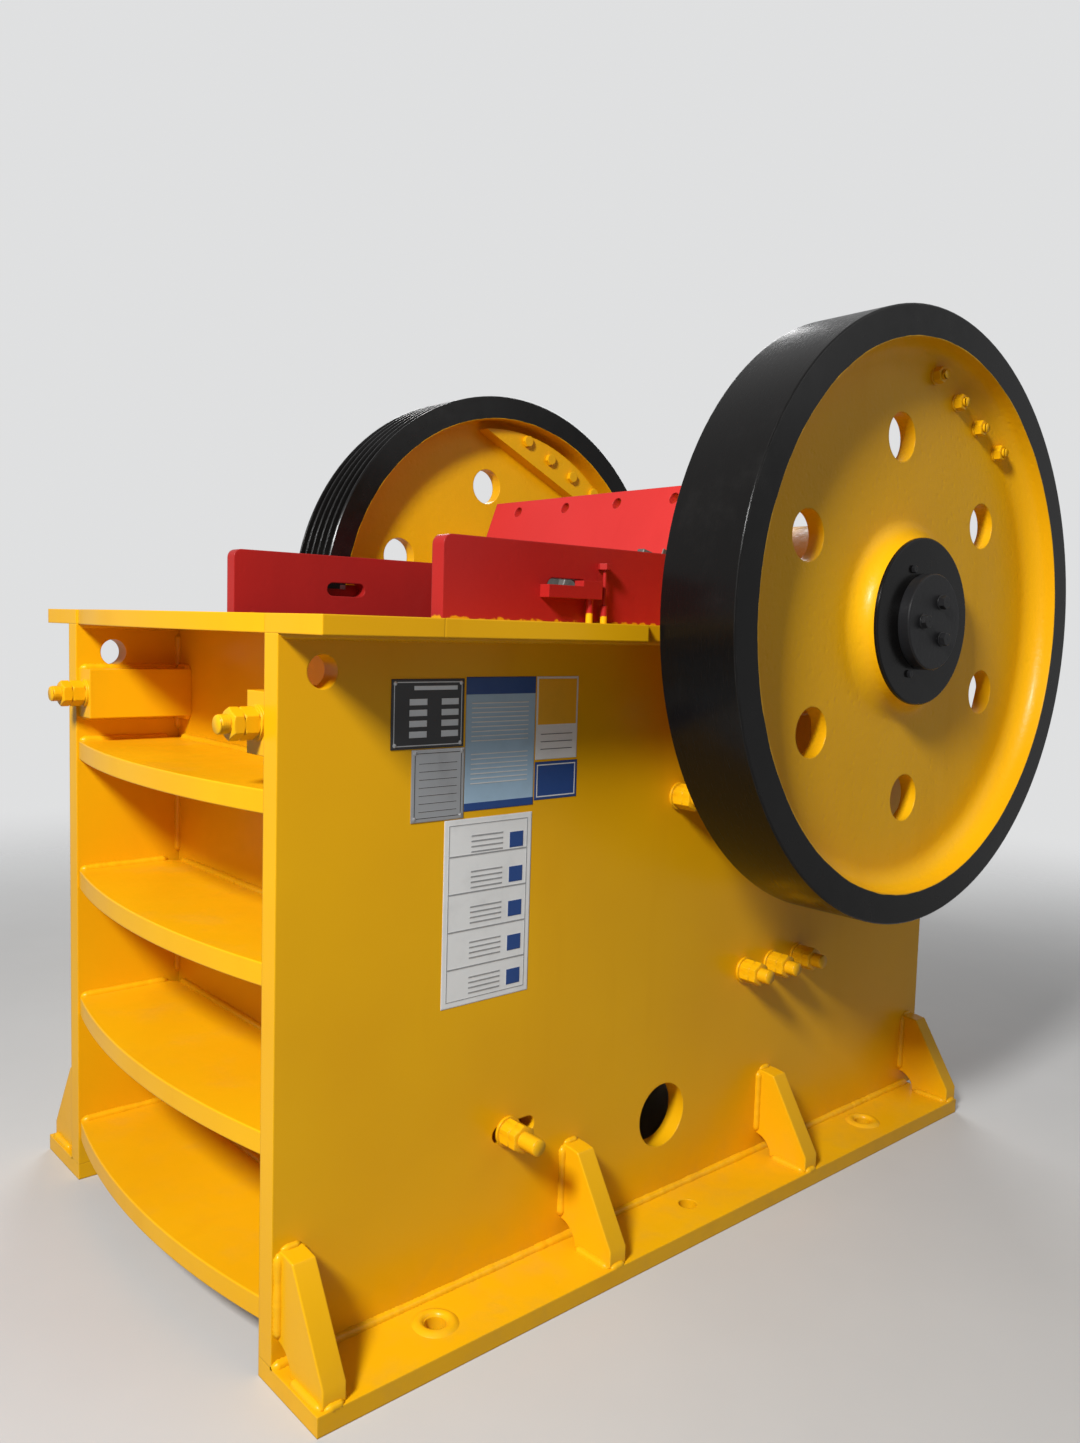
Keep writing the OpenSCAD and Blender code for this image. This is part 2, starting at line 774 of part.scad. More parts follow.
module eccentric_shaft() {
    color("silver") machine() {
        rod_y(ecc_d / 2, -jaw_w / 2 - 1, jaw_w / 2 + 1, head_x, head_z);
        for (s = [-1, 1]) {
            rod_y(journal_d / 2, s > 0 ? jaw_w / 2 : -hub_in, s > 0 ? hub_in : -jaw_w / 2, shaft_x, shaft_z);
            rod_y(seat_d / 2, s > 0 ? hub_in : -hub_out, s > 0 ? hub_out : -hub_in, shaft_x, shaft_z);
        }
    }
}

module fillet(corner, r, quarter) {
    difference() {
        translate(corner + [min(0, quarter[0] * r), min(0, quarter[1] * r)]) square(r);
        translate(corner + quarter * r) circle(r = r);
    }
}

module rim_outline(width, grooved) {
    r = wheel_d / 2;
    c = wheel_chamfer;
    rim_out = rim_in + width;
    first = rim_in + width / 2 - (groove_n - 1) * groove_pitch / 2;
    grooves = grooved ? [for (i = [0 : groove_n - 1]) let (y = first + i * groove_pitch) each [
        [r, y - groove_w / 2], [r - groove_depth, y - groove_floor / 2],
        [r - groove_depth, y + groove_floor / 2], [r, y + groove_w / 2]]] : [];
    polygon(concat([[rim_r, rim_in], [r - c, rim_in], [r, rim_in + c]], grooves,
                   [[r, rim_out - c], [r - c, rim_out], [rim_r, rim_out]]));
    translate([web_high_r, web_in]) square([rim_r - web_high_r, web_t]);
    fillet([rim_r, web_out], rim_fillet, [-1, 1]);
    fillet([rim_r, web_in], rim_fillet_in, [-1, -1]);
}

module hub_outline() {
    c = wheel_chamfer;
    bore_r = seat_d / 2 + face_gap;
    polygon([[bore_r, hub_in], [hub_d / 2 - c, hub_in], [hub_d / 2, hub_in + c], [hub_d / 2, hub_out - c],
             [hub_d / 2 - c, hub_out], [bore_r, hub_out]]);
    translate([hub_d / 2, web_in]) square([web_low_r - hub_d / 2, web_t]);
    fillet([hub_d / 2, web_out], hub_fillet, [1, 1]);
    fillet([hub_d / 2, web_in], hub_fillet, [1, -1]);
}

module wheel_rim(side) {
    grooved = side == "far";
    color("dimgray") machine() on_side(side) turned(shaft_x, shaft_z)
        rim_outline(grooved ? groove_rim_w : rim_w, grooved);
}

module wheel_web(side) {
    color("gold") machine() on_side(side) translate([shaft_x, 0, shaft_z])
        upright(web_in, web_out) difference() {
            circle(r = web_high_r, $fn = 180);
            circle(r = web_low_r, $fn = 180);
            for (i = [0 : hole_n - 1]) rotate(hole_angle + i * 360 / hole_n) translate([hole_circle / 2, 0])
                circle(d = hole_d);
        }
}

module wheel_hub(side) {
    color("gold") machine() on_side(side) turned(shaft_x, shaft_z) hub_outline();
}

module counterweights() {
    r = rim_r - rim_fillet_in - 4;
    color("gold") machine() on_both_sides() translate([shaft_x, 0, shaft_z]) rotate([0, -weight_angle, 0])
        upright(web_in - weight_t, web_in) intersection() {
            circle(r = r, $fn = 180);
            translate([weight_chord, -r]) square([r, 2 * r]);
        }
}

module shaft_end_plates() {
    c = wheel_chamfer;
    color("dimgray") machine() on_both_sides() turned(shaft_x, shaft_z)
        polygon([[0, hub_out], [cap_d / 2, hub_out], [cap_d / 2, hub_out + cap_t - c],
                 [cap_d / 2 - c, hub_out + cap_t], [0, hub_out + cap_t]]);
}

module jaw_rib_outline() {
    foot_z = foot_h - jaw_bottom;
    polygon([[jaw_slab_t - jaw_face, jaw_top - rib_margin], [jaw_slab_t - jaw_face, foot_z],
             [-foot_face - rib_margin, foot_z], [rib_knee, -rib_knee_drop], [rib_back, -rib_back_drop]]);
}

module swing_jaw_front() {
    color("gold") jaw_frame()
        slab([-jaw_face, jaw_slab_t - jaw_face], [-jaw_w / 2, jaw_w / 2], [-jaw_bottom, jaw_top]);
}

module swing_jaw_head() {
    color("gold") machine() difference() {
        rod_y(head_d / 2, -jaw_w / 2, jaw_w / 2, head_x, head_z);
        rod_y(ecc_d / 2 + run_gap, -jaw_w / 2 - 1, jaw_w / 2 + 1, head_x, head_z);
    }
}

module swing_jaw_ribs() {
    rib_gap = (jaw_w - jaw_rib_t) / (jaw_rib_n - 1);
    color("gold") jaw_frame() for (i = [0 : jaw_rib_n - 1])
        let (y = -jaw_w / 2 + i * rib_gap) upright(y, y + jaw_rib_t) difference() {
            jaw_rib_outline();
            circle(r = head_d / 2 + face_gap);
        }
}

module swing_jaw_foot() {
    color("gold") machine() rod_fork();
    color("gold") difference() {
        jaw_frame() slab([jaw_slab_t - jaw_face, -foot_face], [-jaw_w / 2, jaw_w / 2],
                         [-jaw_bottom, foot_h - jaw_bottom]);
        machine() upright(-jaw_w / 2 - 1, jaw_w / 2 + 1) toggle_outline(seat_x, seat_z, seat_r);
    }
}

module rod_fork() {
    root_x = pin_x - fork_reach;
    for (s = [-1, 1]) {
        inner = s * (eye_w / 2 + face_gap);
        outer = s * (eye_w / 2 + fork_t);
        rod_y(eye_d / 2, min(inner, outer), max(inner, outer), pin_x, rod_z);
        slab([root_x, pin_x], [min(inner, outer), max(inner, outer)], [rod_z - eye_d / 2, rod_z + eye_d / 2]);
    }
    rod_y(pin_d / 2, -eye_w / 2 - fork_t - 12, eye_w / 2 + fork_t + 12, pin_x, rod_z);
}

module swing_jaw_plate() {
    color("dimgray") jaw_frame() translate([-jaw_face, 0, swing_plate_top - swing_plate_len])
        rotate([0, 0, 180]) linear_extrude(swing_plate_len) toothed_outline(plate_t, swing_tooth_h, true);
}

module guard_plate() {
    color("firebrick") jaw_frame() difference() {
        slab([-jaw_face - guard_t, -jaw_face], [-guard_w / 2, guard_w / 2], [guard_low, guard_top]);
        for (i = [-1.5 : 1 : 1.5]) rod_x(guard_hole_d / 2, -jaw_face - guard_t - 1, -jaw_face + 1,
                                         i * guard_hole_pitch, guard_top - guard_hole_drop);
    }
}

module tension_rod() {
    washer_x = spring_x + spring_len;
    color("silver") machine() {
        difference() {
            union() {
                rod_y(eye_d / 2, -eye_w / 2, eye_w / 2, pin_x, rod_z);
                rod_x(rod_d / 2, pin_x, rod_end_x, 0, rod_z);
            }
            rod_y(pin_d / 2 + face_gap, -eye_w, eye_w, pin_x, rod_z);
        }
        rod_x(spring_d / 2 + 6, washer_x, washer_x + 14, 0, rod_z);
        nut_x(washer_x + 14, nut_h, 0, rod_z);
        nut_x(washer_x + 14 + nut_h, nut_h, 0, rod_z);
    }
}

module tension_spring() {
    color("silver") machine() difference() {
        rod_x(spring_d / 2, spring_x, spring_x + spring_len, 0, rod_z);
        rod_x(spring_d / 2 - 22, spring_x - 1, spring_x + spring_len + 1, 0, rod_z);
    }
}

side_plate("near");  // side_plate_near
side_plate("far");  // side_plate_far
top_front_plate();
top_flange("near");  // top_flange_near
top_flange("far");  // top_flange_far
foot_flange("near");  // foot_flange_near
foot_flange("far");  // foot_flange_far
gussets("near");  // gussets_near
gussets("far");  // gussets_far
front_wall();
front_rib(1);  // front_rib_1
front_rib(2);  // front_rib_2
front_rib(3);  // front_rib_3
front_rib(4);  // front_rib_4
corner_boxes();
fixed_jaw_plate();
cheek_plate("near");  // cheek_plate_near
cheek_plate("far");  // cheek_plate_far
cheek_clamps();
rear_wall();
rear_ribs();
toggle_block();
toggle_shims();
toggle_plate();
bearing_seats();
bearing_caps();
bearings();
frame_bolts();
eccentric_shaft();
wheel_rim("near");  // wheel_near_rim
wheel_web("near");  // wheel_near_web
wheel_hub("near");  // wheel_near_hub
wheel_rim("far");  // wheel_far_rim
wheel_web("far");  // wheel_far_web
wheel_hub("far");  // wheel_far_hub
counterweights();
shaft_end_plates();
swing_jaw_front();
swing_jaw_head();
swing_jaw_ribs();
swing_jaw_foot();
swing_jaw_plate();
guard_plate();
tension_rod();
tension_spring();
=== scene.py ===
"""Looks of a jaw crusher: finishes, welds, bolts, bearing covers, plates, studio and camera.

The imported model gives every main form. This script dresses those forms and adds what is too small
for them: weld seams, threads, bolt heads, bearing covers, the coil of the spring, the lumps round
the anchor holes and the blank plates.
"""

import json
import logging
import math
import random
from collections.abc import Sequence
from dataclasses import dataclass, field
from enum import Enum

import bpy
import numpy as np
from mathutils import Matrix, Vector


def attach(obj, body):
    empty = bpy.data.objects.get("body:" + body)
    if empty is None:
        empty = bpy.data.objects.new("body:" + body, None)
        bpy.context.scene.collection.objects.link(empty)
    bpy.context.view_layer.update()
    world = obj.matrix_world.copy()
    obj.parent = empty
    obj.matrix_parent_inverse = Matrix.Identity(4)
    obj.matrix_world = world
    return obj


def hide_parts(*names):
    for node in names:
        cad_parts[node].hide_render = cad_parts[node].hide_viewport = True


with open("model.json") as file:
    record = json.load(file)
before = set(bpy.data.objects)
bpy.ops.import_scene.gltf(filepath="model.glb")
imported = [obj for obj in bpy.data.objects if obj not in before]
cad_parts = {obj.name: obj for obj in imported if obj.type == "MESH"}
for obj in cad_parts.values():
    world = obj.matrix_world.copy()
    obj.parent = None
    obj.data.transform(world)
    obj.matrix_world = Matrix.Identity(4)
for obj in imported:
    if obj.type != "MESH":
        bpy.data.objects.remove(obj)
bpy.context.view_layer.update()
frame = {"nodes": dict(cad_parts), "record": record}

logging.basicConfig(level=logging.INFO, format="%(message)s")
LOG = logging.getLogger("jaw_crusher")

Vec = tuple[float, float, float]
Colour = tuple[float, float, float]
Area = tuple[float, float, float, float]
Reach = float | np.ndarray


class Side(Enum):
    """The two sides of the machine, by the sign of Y."""

    NEAR = -1
    FAR = 1


class Body(Enum):
    """The bodies that pieces ride on."""

    FRAME = "frame"
    SHAFT = "shaft"
    JAW = "jaw"


class Slot(Enum):
    """The record's material slots."""

    FRAME = "frame_enamel"
    WHEEL = "wheel_enamel"
    BLACK = "black_enamel"
    CHEEK = "cheek_enamel"
    GUARD = "guard_enamel"
    MANGANESE = "manganese_steel"
    CAST = "cast_grey"
    STEEL = "bare_steel"


@dataclass(frozen=True)
class Layout:
    """Places that the sub-assemblies share, in metres, in the machine's own frame."""

    front: float = -1.1245
    shaft_x: float = 0.4485
    shaft_z: float = 1.494
    plate_in: float = 0.49
    plate_out: float = 0.54
    floor_flange: float = 0.04
    top_low: float = 1.429
    wheel_angle: float = math.radians(65.0)

    def x(self, behind_front: float) -> float:
        """Turns a distance behind the frame's front edge into a place."""
        return self.front + behind_front


AT = Layout()


class Shader:
    """A material's node tree, built by short calls."""

    def __init__(self, name: str, rounded_edge: float = 0.004) -> None:
        """Makes the material with an empty node tree.

        Args:
            name: the material's name.
            rounded_edge: radius that its edges seem to have, in metres, or 0 for none.
        """
        self.material = bpy.data.materials.new(name)
        self.material.use_nodes = True
        self.tree = self.material.node_tree
        self.tree.nodes.clear()
        self.output = self.tree.nodes.new("ShaderNodeOutputMaterial")
        self.coords = self.tree.nodes.new("ShaderNodeTexCoord").outputs["Object"]
        if rounded_edge:
            rounded = self.tree.nodes.new("ShaderNodeBevel")
            rounded.samples = 6
            rounded.inputs["Radius"].default_value = rounded_edge
            self.round = rounded.outputs[0]
        else:
            self.round = self.tree.nodes.new("ShaderNodeNewGeometry").outputs["Normal"]

    def node(self, kind: str, **settings: object) -> bpy.types.Node:
        """Adds a node and sets its properties.

        Args:
            kind: the node's type.
            **settings: properties by name.

        Returns:
            The node.
        """
        made = self.tree.nodes.new(kind)
        for key, value in settings.items():
            setattr(made, key, value)
        return made

    def put(self, socket: bpy.types.NodeSocket, value: object) -> None:
        """Links a socket to another, or sets its value.

        Args:
            socket: the input.
            value: an output to link, or a value.
        """
        if isinstance(value, bpy.types.NodeSocket):
            self.tree.links.new(value, socket)
        else:
            socket.default_value = value

    def stretched(self, scale: Vec) -> bpy.types.NodeSocket:
        """Scales the object's coordinates.

        Args:
            scale: the factor along each axis.

        Returns:
            The scaled coordinates.
        """
        mapping = self.node("ShaderNodeMapping")
        self.put(mapping.inputs["Vector"], self.coords)
        self.put(mapping.inputs["Scale"], scale)
        return mapping.outputs["Vector"]

    def noise(self, scale: float, detail: float = 3.0, rough: float = 0.5,
              coords: bpy.types.NodeSocket | None = None) -> bpy.types.NodeSocket:
        """Adds a noise texture.

        Args:
            scale: features per metre.
            detail: octaves.
            rough: strength of the finer octaves.
            coords: where to read it, the object's coordinates if None.

        Returns:
            The noise from 0 to 1.
        """
        made = self.node("ShaderNodeTexNoise")
        self.put(made.inputs["Vector"], coords or self.coords)
        self.put(made.inputs["Scale"], scale)
        self.put(made.inputs["Detail"], detail)
        self.put(made.inputs["Roughness"], rough)
        return made.outputs["Fac"]

    def pits(self, scale: float) -> bpy.types.NodeSocket:
        """Adds a cell texture.

        Args:
            scale: cells per metre.

        Returns:
            The distance to the nearest cell's point.
        """
        made = self.node("ShaderNodeTexVoronoi")
        self.put(made.inputs["Vector"], self.coords)
        self.put(made.inputs["Scale"], scale)
        return made.outputs["Distance"]

    def span(self, value: bpy.types.NodeSocket, low: float, high: float,
             to_low: float = 0.0, to_high: float = 1.0) -> bpy.types.NodeSocket:
        """Maps a span of a value smoothly to another span.

        Args:
            value: the value.
            low: the span's start.
            high: the span's end.
            to_low: result at the start.
            to_high: result at the end.

        Returns:
            The mapped value.
        """
        made = self.node("ShaderNodeMapRange", interpolation_type="SMOOTHSTEP")
        for key, number in (("Value", value), ("From Min", low), ("From Max", high),
                            ("To Min", to_low), ("To Max", to_high)):
            self.put(made.inputs[key], number)
        return made.outputs["Result"]

    def math(self, operation: str, a: object, b: object = 0.0) -> bpy.types.NodeSocket:
        """Adds a math node.

        Args:
            operation: what it does.
            a: the first value.
            b: the second value.

        Returns:
            The result.
        """
        made = self.node("ShaderNodeMath", operation=operation)
        self.put(made.inputs[0], a)
        self.put(made.inputs[1], b)
        return made.outputs[0]

    def blend(self, share: object, a: object, b: object) -> bpy.types.NodeSocket:
        """Mixes two colours, given as sockets or as three numbers.

        Args:
            share: how much of the second, from 0 to 1.
            a: the first colour.
            b: the second colour.

        Returns:
            The mixed colour.
        """
        made = self.node("ShaderNodeMix", data_type="RGBA")
        self.put(made.inputs[0], share)
        for socket, value in ((made.inputs[6], a), (made.inputs[7], b)):
            self.put(socket, (*value, 1.0) if isinstance(value, tuple) else value)
        return made.outputs[2]

    def bump(self, height: bpy.types.NodeSocket, distance: float, strength: float = 1.0,
             under: bpy.types.NodeSocket | None = None) -> bpy.types.NodeSocket:
        """Adds a bump.

        Args:
            height: the height from 0 to 1.
            distance: depth in metres.
            strength: share of it that shows.
            under: the normal of a coarser bump below it, the rounded normal if None.

        Returns:
            The bumped normal.
        """
        made = self.node("ShaderNodeBump")
        self.put(made.inputs["Height"], height)
        self.put(made.inputs["Distance"], distance)
        self.put(made.inputs["Strength"], strength)
        self.put(made.inputs["Normal"], under or self.round)
        return made.outputs["Normal"]

    def up(self) -> bpy.types.NodeSocket:
        """Reads how far the surface faces up.

        Returns:
            The share, from -1 to 1.
        """
        normal = self.node("ShaderNodeNewGeometry").outputs["Normal"]
        split = self.node("ShaderNodeSeparateXYZ")
        self.put(split.inputs[0], normal)
        return split.outputs["Z"]

    def place(self, axis: str) -> bpy.types.NodeSocket:
        """Reads where the surface is.

        Args:
            axis: X, Y or Z.

        Returns:
            The object's coordinate along it, in metres.
        """
        split = self.node("ShaderNodeSeparateXYZ")
        self.put(split.inputs[0], self.coords)
        return split.outputs[axis]

    def edges(self) -> bpy.types.NodeSocket:
        """Finds the edges, from how the rounded normal leaves the face's own.

        Returns:
            A mask that is 1 along convex and concave edges.
        """
        true_normal = self.node("ShaderNodeNewGeometry").outputs["True Normal"]
        dot = self.node("ShaderNodeVectorMath", operation="DOT_PRODUCT")
        self.put(dot.inputs[0], self.round)
        self.put(dot.inputs[1], true_normal)
        return self.span(dot.outputs["Value"], 0.995, 0.86)

    def surface(self, **inputs: object) -> bpy.types.Material:
        """Joins the sockets to a Principled shader and finishes the material.

        Args:
            **inputs: the shader's inputs, with underscores for spaces.

        Returns:
            The material.
        """
        shader = self.node("ShaderNodeBsdfPrincipled")
        for key, value in inputs.items():
            socket = shader.inputs[key.replace("_", " ")]
            self.put(socket, (*value, 1.0) if isinstance(value, tuple) and len(value) == 3 else value)
        self.put(self.output.inputs["Surface"], shader.outputs[0])
        return self.material


@dataclass(frozen=True)
class Enamel:
    """Semi-gloss enamel sprayed on plate or on a casting."""

    name: str
    colour: Colour
    deep: Colour
    gloss: float = 0.3
    peel: float = 0.00010
    wave: float = 0.0014
    cast: float = 0.0
    # Strength of the dust on upward faces and of the darker bottom band.
    dust: float = 0.16
    chips: float = 0.3
    coat: float = 0.05
    rounded_edge: float = 0.004
    foot: Colour | None = None
    foot_z: float = 0.0
    chip: Colour = (0.09, 0.075, 0.06)
    # Brown of the dust and of the darker bottom band.
    dust_and_darker_bottom: Colour = (0.36, 0.235, 0.085)

    def body(self, shader: Shader) -> tuple:
        """Makes the paint's own sockets.

        Args:
            shader: the tree to build in.

        Returns:
            The colour, the roughness and the normal.
        """
        uneven = shader.noise(1.7, 3.0, 0.5)
        runs = shader.noise(8.0, 3.0, 0.5, shader.stretched((1.0, 1.0, 0.16)))
        colour = shader.blend(shader.span(uneven, 0.35, 0.7, 0.0, 0.3), self.colour, self.deep)
        colour = shader.blend(shader.span(runs, 0.56, 0.72, 0.0, 0.14), colour, self.deep)
        if self.foot:
            waves = shader.span(shader.noise(38.0, 4.0), 0.3, 0.7, 0.005, -0.005)
            ragged = shader.math("ADD", shader.place("Z"), waves)
            below = shader.span(ragged, self.foot_z + 0.002, self.foot_z - 0.002)
            colour = shader.blend(below, colour, self.foot)
        # Painted edge highlight: convex and concave edges are lightened in the base colour; the dark chips
        # after it are wear.
        pale = tuple(min(1.0, part * 1.1 + 0.01) for part in self.colour)
        edge = shader.edges()
        colour = shader.blend(shader.math("MULTIPLY", edge, 0.3), colour, pale)
        chip = shader.math("MULTIPLY", edge, shader.span(shader.noise(46.0, 5.0, 0.7), 0.68, 0.72))
        colour = shader.blend(shader.math("MULTIPLY", chip, self.chips), colour, self.chip)
        # Dust on faces that look up, and below 0.22 m a colour that is darker towards the bottom; both blend
        # to the same brown.
        grit = shader.span(shader.noise(6.0, 6.0, 0.66), 0.5, 0.82)
        lying = shader.math("MULTIPLY", shader.span(shader.up(), 0.55, 0.98), grit)
        low = shader.math("MULTIPLY", shader.span(shader.place("Z"), 0.22, 0.0),
                          shader.span(shader.noise(14.0, 5.0, 0.6), 0.4, 0.8))
        dust_and_darker_bottom = shader.math("MULTIPLY", shader.math("MAXIMUM", lying, low), self.dust)
        colour = shader.blend(dust_and_darker_bottom, colour, self.dust_and_darker_bottom)
        rough = shader.math("ADD", shader.span(runs, 0.3, 0.8, self.gloss, self.gloss + 0.1),
                            shader.math("MULTIPLY", dust_and_darker_bottom, 0.5))
        normal = shader.bump(uneven, self.wave)
        if self.cast:
            normal = shader.bump(shader.noise(70.0, 6.0, 0.62), self.cast, 1.0, normal)
            normal = shader.bump(shader.span(shader.pits(34.0), 0.05, 0.3), self.cast * 0.8, 0.5, normal)
        normal = shader.bump(shader.noise(300.0, 2.0, 0.5), self.peel, 1.0, normal)
        return colour, rough, normal

    def material(self) -> bpy.types.Material:
        """Makes the finish.

        Returns:
            The material.
        """
        shader = Shader(self.name, self.rounded_edge)
        colour, rough, normal = self.body(shader)
        return shader.surface(Base_Color=colour, Roughness=rough, Normal=normal,
                              Specular_IOR_Level=0.2, Coat_Weight=self.coat, Coat_Roughness=0.15)


@dataclass(frozen=True)
class WheelEnamel:
    """Yellow enamel on a cast web and boss, with black enamel on the rim and the boss's end."""

    name: str
    paint: Enamel
    black: Colour = (0.0048, 0.0044, 0.0042)
    scuffed: Colour = (0.022, 0.021, 0.02)
    worn: Colour = (0.10, 0.098, 0.095)
    dusty: Colour = (0.16, 0.14, 0.11)
    rim_r: float = 0.6768
    boss_r: float = 0.2085
    boss_face: float = 0.885
    cast_through: tuple[float, float] = (0.270, 0.607)
    flat_band: float = 0.006

    def material(self) -> bpy.types.Material:
        """Makes the finish.

        Returns:
            The material.
        """
        shader = Shader(self.name)
        across = shader.math("SUBTRACT", shader.place("X"), AT.shaft_x)
        high = shader.math("SUBTRACT", shader.place("Z"), AT.shaft_z)
        radius = shader.math("SQRT", shader.math("ADD", shader.math("MULTIPLY", across, across),
                                                 shader.math("MULTIPLY", high, high)))
        self.keep_flat(shader, radius)
        colour, rough, normal = self.paint.body(shader)
        wobble = shader.span(shader.noise(16.0), 0.3, 0.7, -0.0008, 0.0008)
        radius = shader.math("ADD", radius, wobble)
        rim = shader.math("GREATER_THAN", radius, self.rim_r)
        outside = shader.math("GREATER_THAN", shader.math("ABSOLUTE", shader.place("Y")), self.boss_face)
        end = shader.math("MULTIPLY", shader.math("LESS_THAN", radius, self.boss_r), outside)
        mask = shader.math("MAXIMUM", rim, end)
        turned = shader.noise(90.0, 4.0, 0.6, shader.stretched((0.25, 5.0, 0.25)))
        scuffs = shader.span(shader.noise(5.0, 6.0, 0.7), 0.5, 0.8)
        grey = shader.blend(shader.math("MULTIPLY", scuffs, 0.3), self.black, self.scuffed)
        rubbed = shader.math("MULTIPLY", shader.edges(), shader.span(turned, 0.4, 0.7, 0.05, 0.3))
        grey = shader.blend(rubbed, grey, self.worn)
        dust = shader.math("MULTIPLY", shader.span(shader.up(), 0.5, 0.98),
                           shader.span(scuffs, 0.1, 0.9, 0.02, 0.16))
        grey = shader.blend(dust, grey, self.dusty)
        black_rough = shader.math("ADD", shader.span(turned, 0.3, 0.7, 0.19, 0.28),
                                  shader.math("MULTIPLY", dust, 0.6))
        black_normal = shader.bump(turned, 0.00012)
        final_rough = shader.node("ShaderNodeMix", data_type="FLOAT")
        for socket, value in ((0, mask), (2, rough), (3, black_rough)):
            shader.put(final_rough.inputs[socket], value)
        final_normal = shader.node("ShaderNodeMix", data_type="VECTOR")
        for socket, value in ((0, mask), (4, normal), (5, black_normal)):
            shader.put(final_normal.inputs[socket], value)
        return shader.surface(Base_Color=shader.blend(mask, colour, grey), Roughness=final_rough.outputs[0],
                              Normal=final_normal.outputs[1], Specular_IOR_Level=0.18,
                              Coat_Weight=0.04, Coat_Roughness=0.15)

    def keep_flat(self, shader: Shader, radius: bpy.types.NodeSocket) -> None:
        """Keeps the rounded normal away from where one casting is packed as two nodes.

        Args:
            shader: the tree to build in.
            radius: the distance from the shaft axis.
        """
        inner, outer = self.cast_through
        near = shader.math("MINIMUM", shader.math("ABSOLUTE", shader.math("SUBTRACT", radius, inner)),
                           shader.math("ABSOLUTE", shader.math("SUBTRACT", radius, outer)))
        mix = shader.node("ShaderNodeMix", data_type="VECTOR")
        shader.put(mix.inputs[0], shader.math("LESS_THAN", near, self.flat_band))
        shader.put(mix.inputs[4], shader.round)
        shader.put(mix.inputs[5], shader.node("ShaderNodeNewGeometry").outputs["Normal"])
        shader.round = mix.outputs[1]


@dataclass(frozen=True)
class BareMetal:
    """Steel or iron without paint: turned, cast or greased."""

    name: str
    colour: Colour
    stain: Colour
    metal: float = 1.0
    rough: float = 0.38
    grain: float = 55.0
    depth: float = 0.0006
    stretch: Vec = (1.0, 1.0, 1.0)
    dusty: Colour = (0.2, 0.165, 0.12)

    def material(self) -> bpy.types.Material:
        """Makes the finish.

        Returns:
            The material.
        """
        shader = Shader(self.name)
        coarse = shader.noise(6.0, 5.0, 0.6)
        fine = shader.noise(self.grain, 6.0, 0.65, shader.stretched(self.stretch))
        stained = shader.span(coarse, 0.4, 0.75)
        colour = shader.blend(stained, self.colour, self.stain)
        bright = tuple(min(1.0, part * 1.6 + 0.03) for part in self.colour)
        colour = shader.blend(shader.math("MULTIPLY", shader.edges(), 0.5), colour, bright)
        dust = shader.math("MULTIPLY", shader.span(shader.up(), 0.6, 0.98),
                           shader.span(coarse, 0.3, 0.8, 0.05, 0.4))
        colour = shader.blend(dust, colour, self.dusty)
        rough = shader.math("ADD", shader.span(fine, 0.3, 0.75, self.rough, self.rough + 0.2), dust)
        normal = shader.bump(fine, self.depth, 1.0, shader.bump(coarse, self.depth * 2.0, 0.6))
        return shader.surface(Base_Color=colour, Metallic=self.metal, Roughness=rough, Normal=normal)


@dataclass(frozen=True)
class Print:
    """A thin sheet of one colour: a sticker or an engraved plate."""

    name: str
    colour: Colour
    rough: float = 0.4
    metal: float = 0.0

    def material(self) -> bpy.types.Material:
        """Makes the finish.

        Returns:
            The material.
        """
        shader = Shader(self.name)
        cloud = shader.noise(18.0, 4.0, 0.6)
        soiled = tuple(part * 0.72 for part in self.colour)
        colour = shader.blend(shader.span(cloud, 0.45, 0.85, 0.0, 0.4), self.colour, soiled)
        rough = shader.span(cloud, 0.3, 0.8, self.rough, self.rough + 0.15)
        normal = shader.bump(shader.noise(30.0, 3.0, 0.5), 0.0004, 0.6)
        return shader.surface(Base_Color=colour, Roughness=rough, Metallic=self.metal, Normal=normal)


YELLOW = (0.83, 0.43, 0.003)
DEEP_YELLOW = (0.69, 0.305, 0.003)


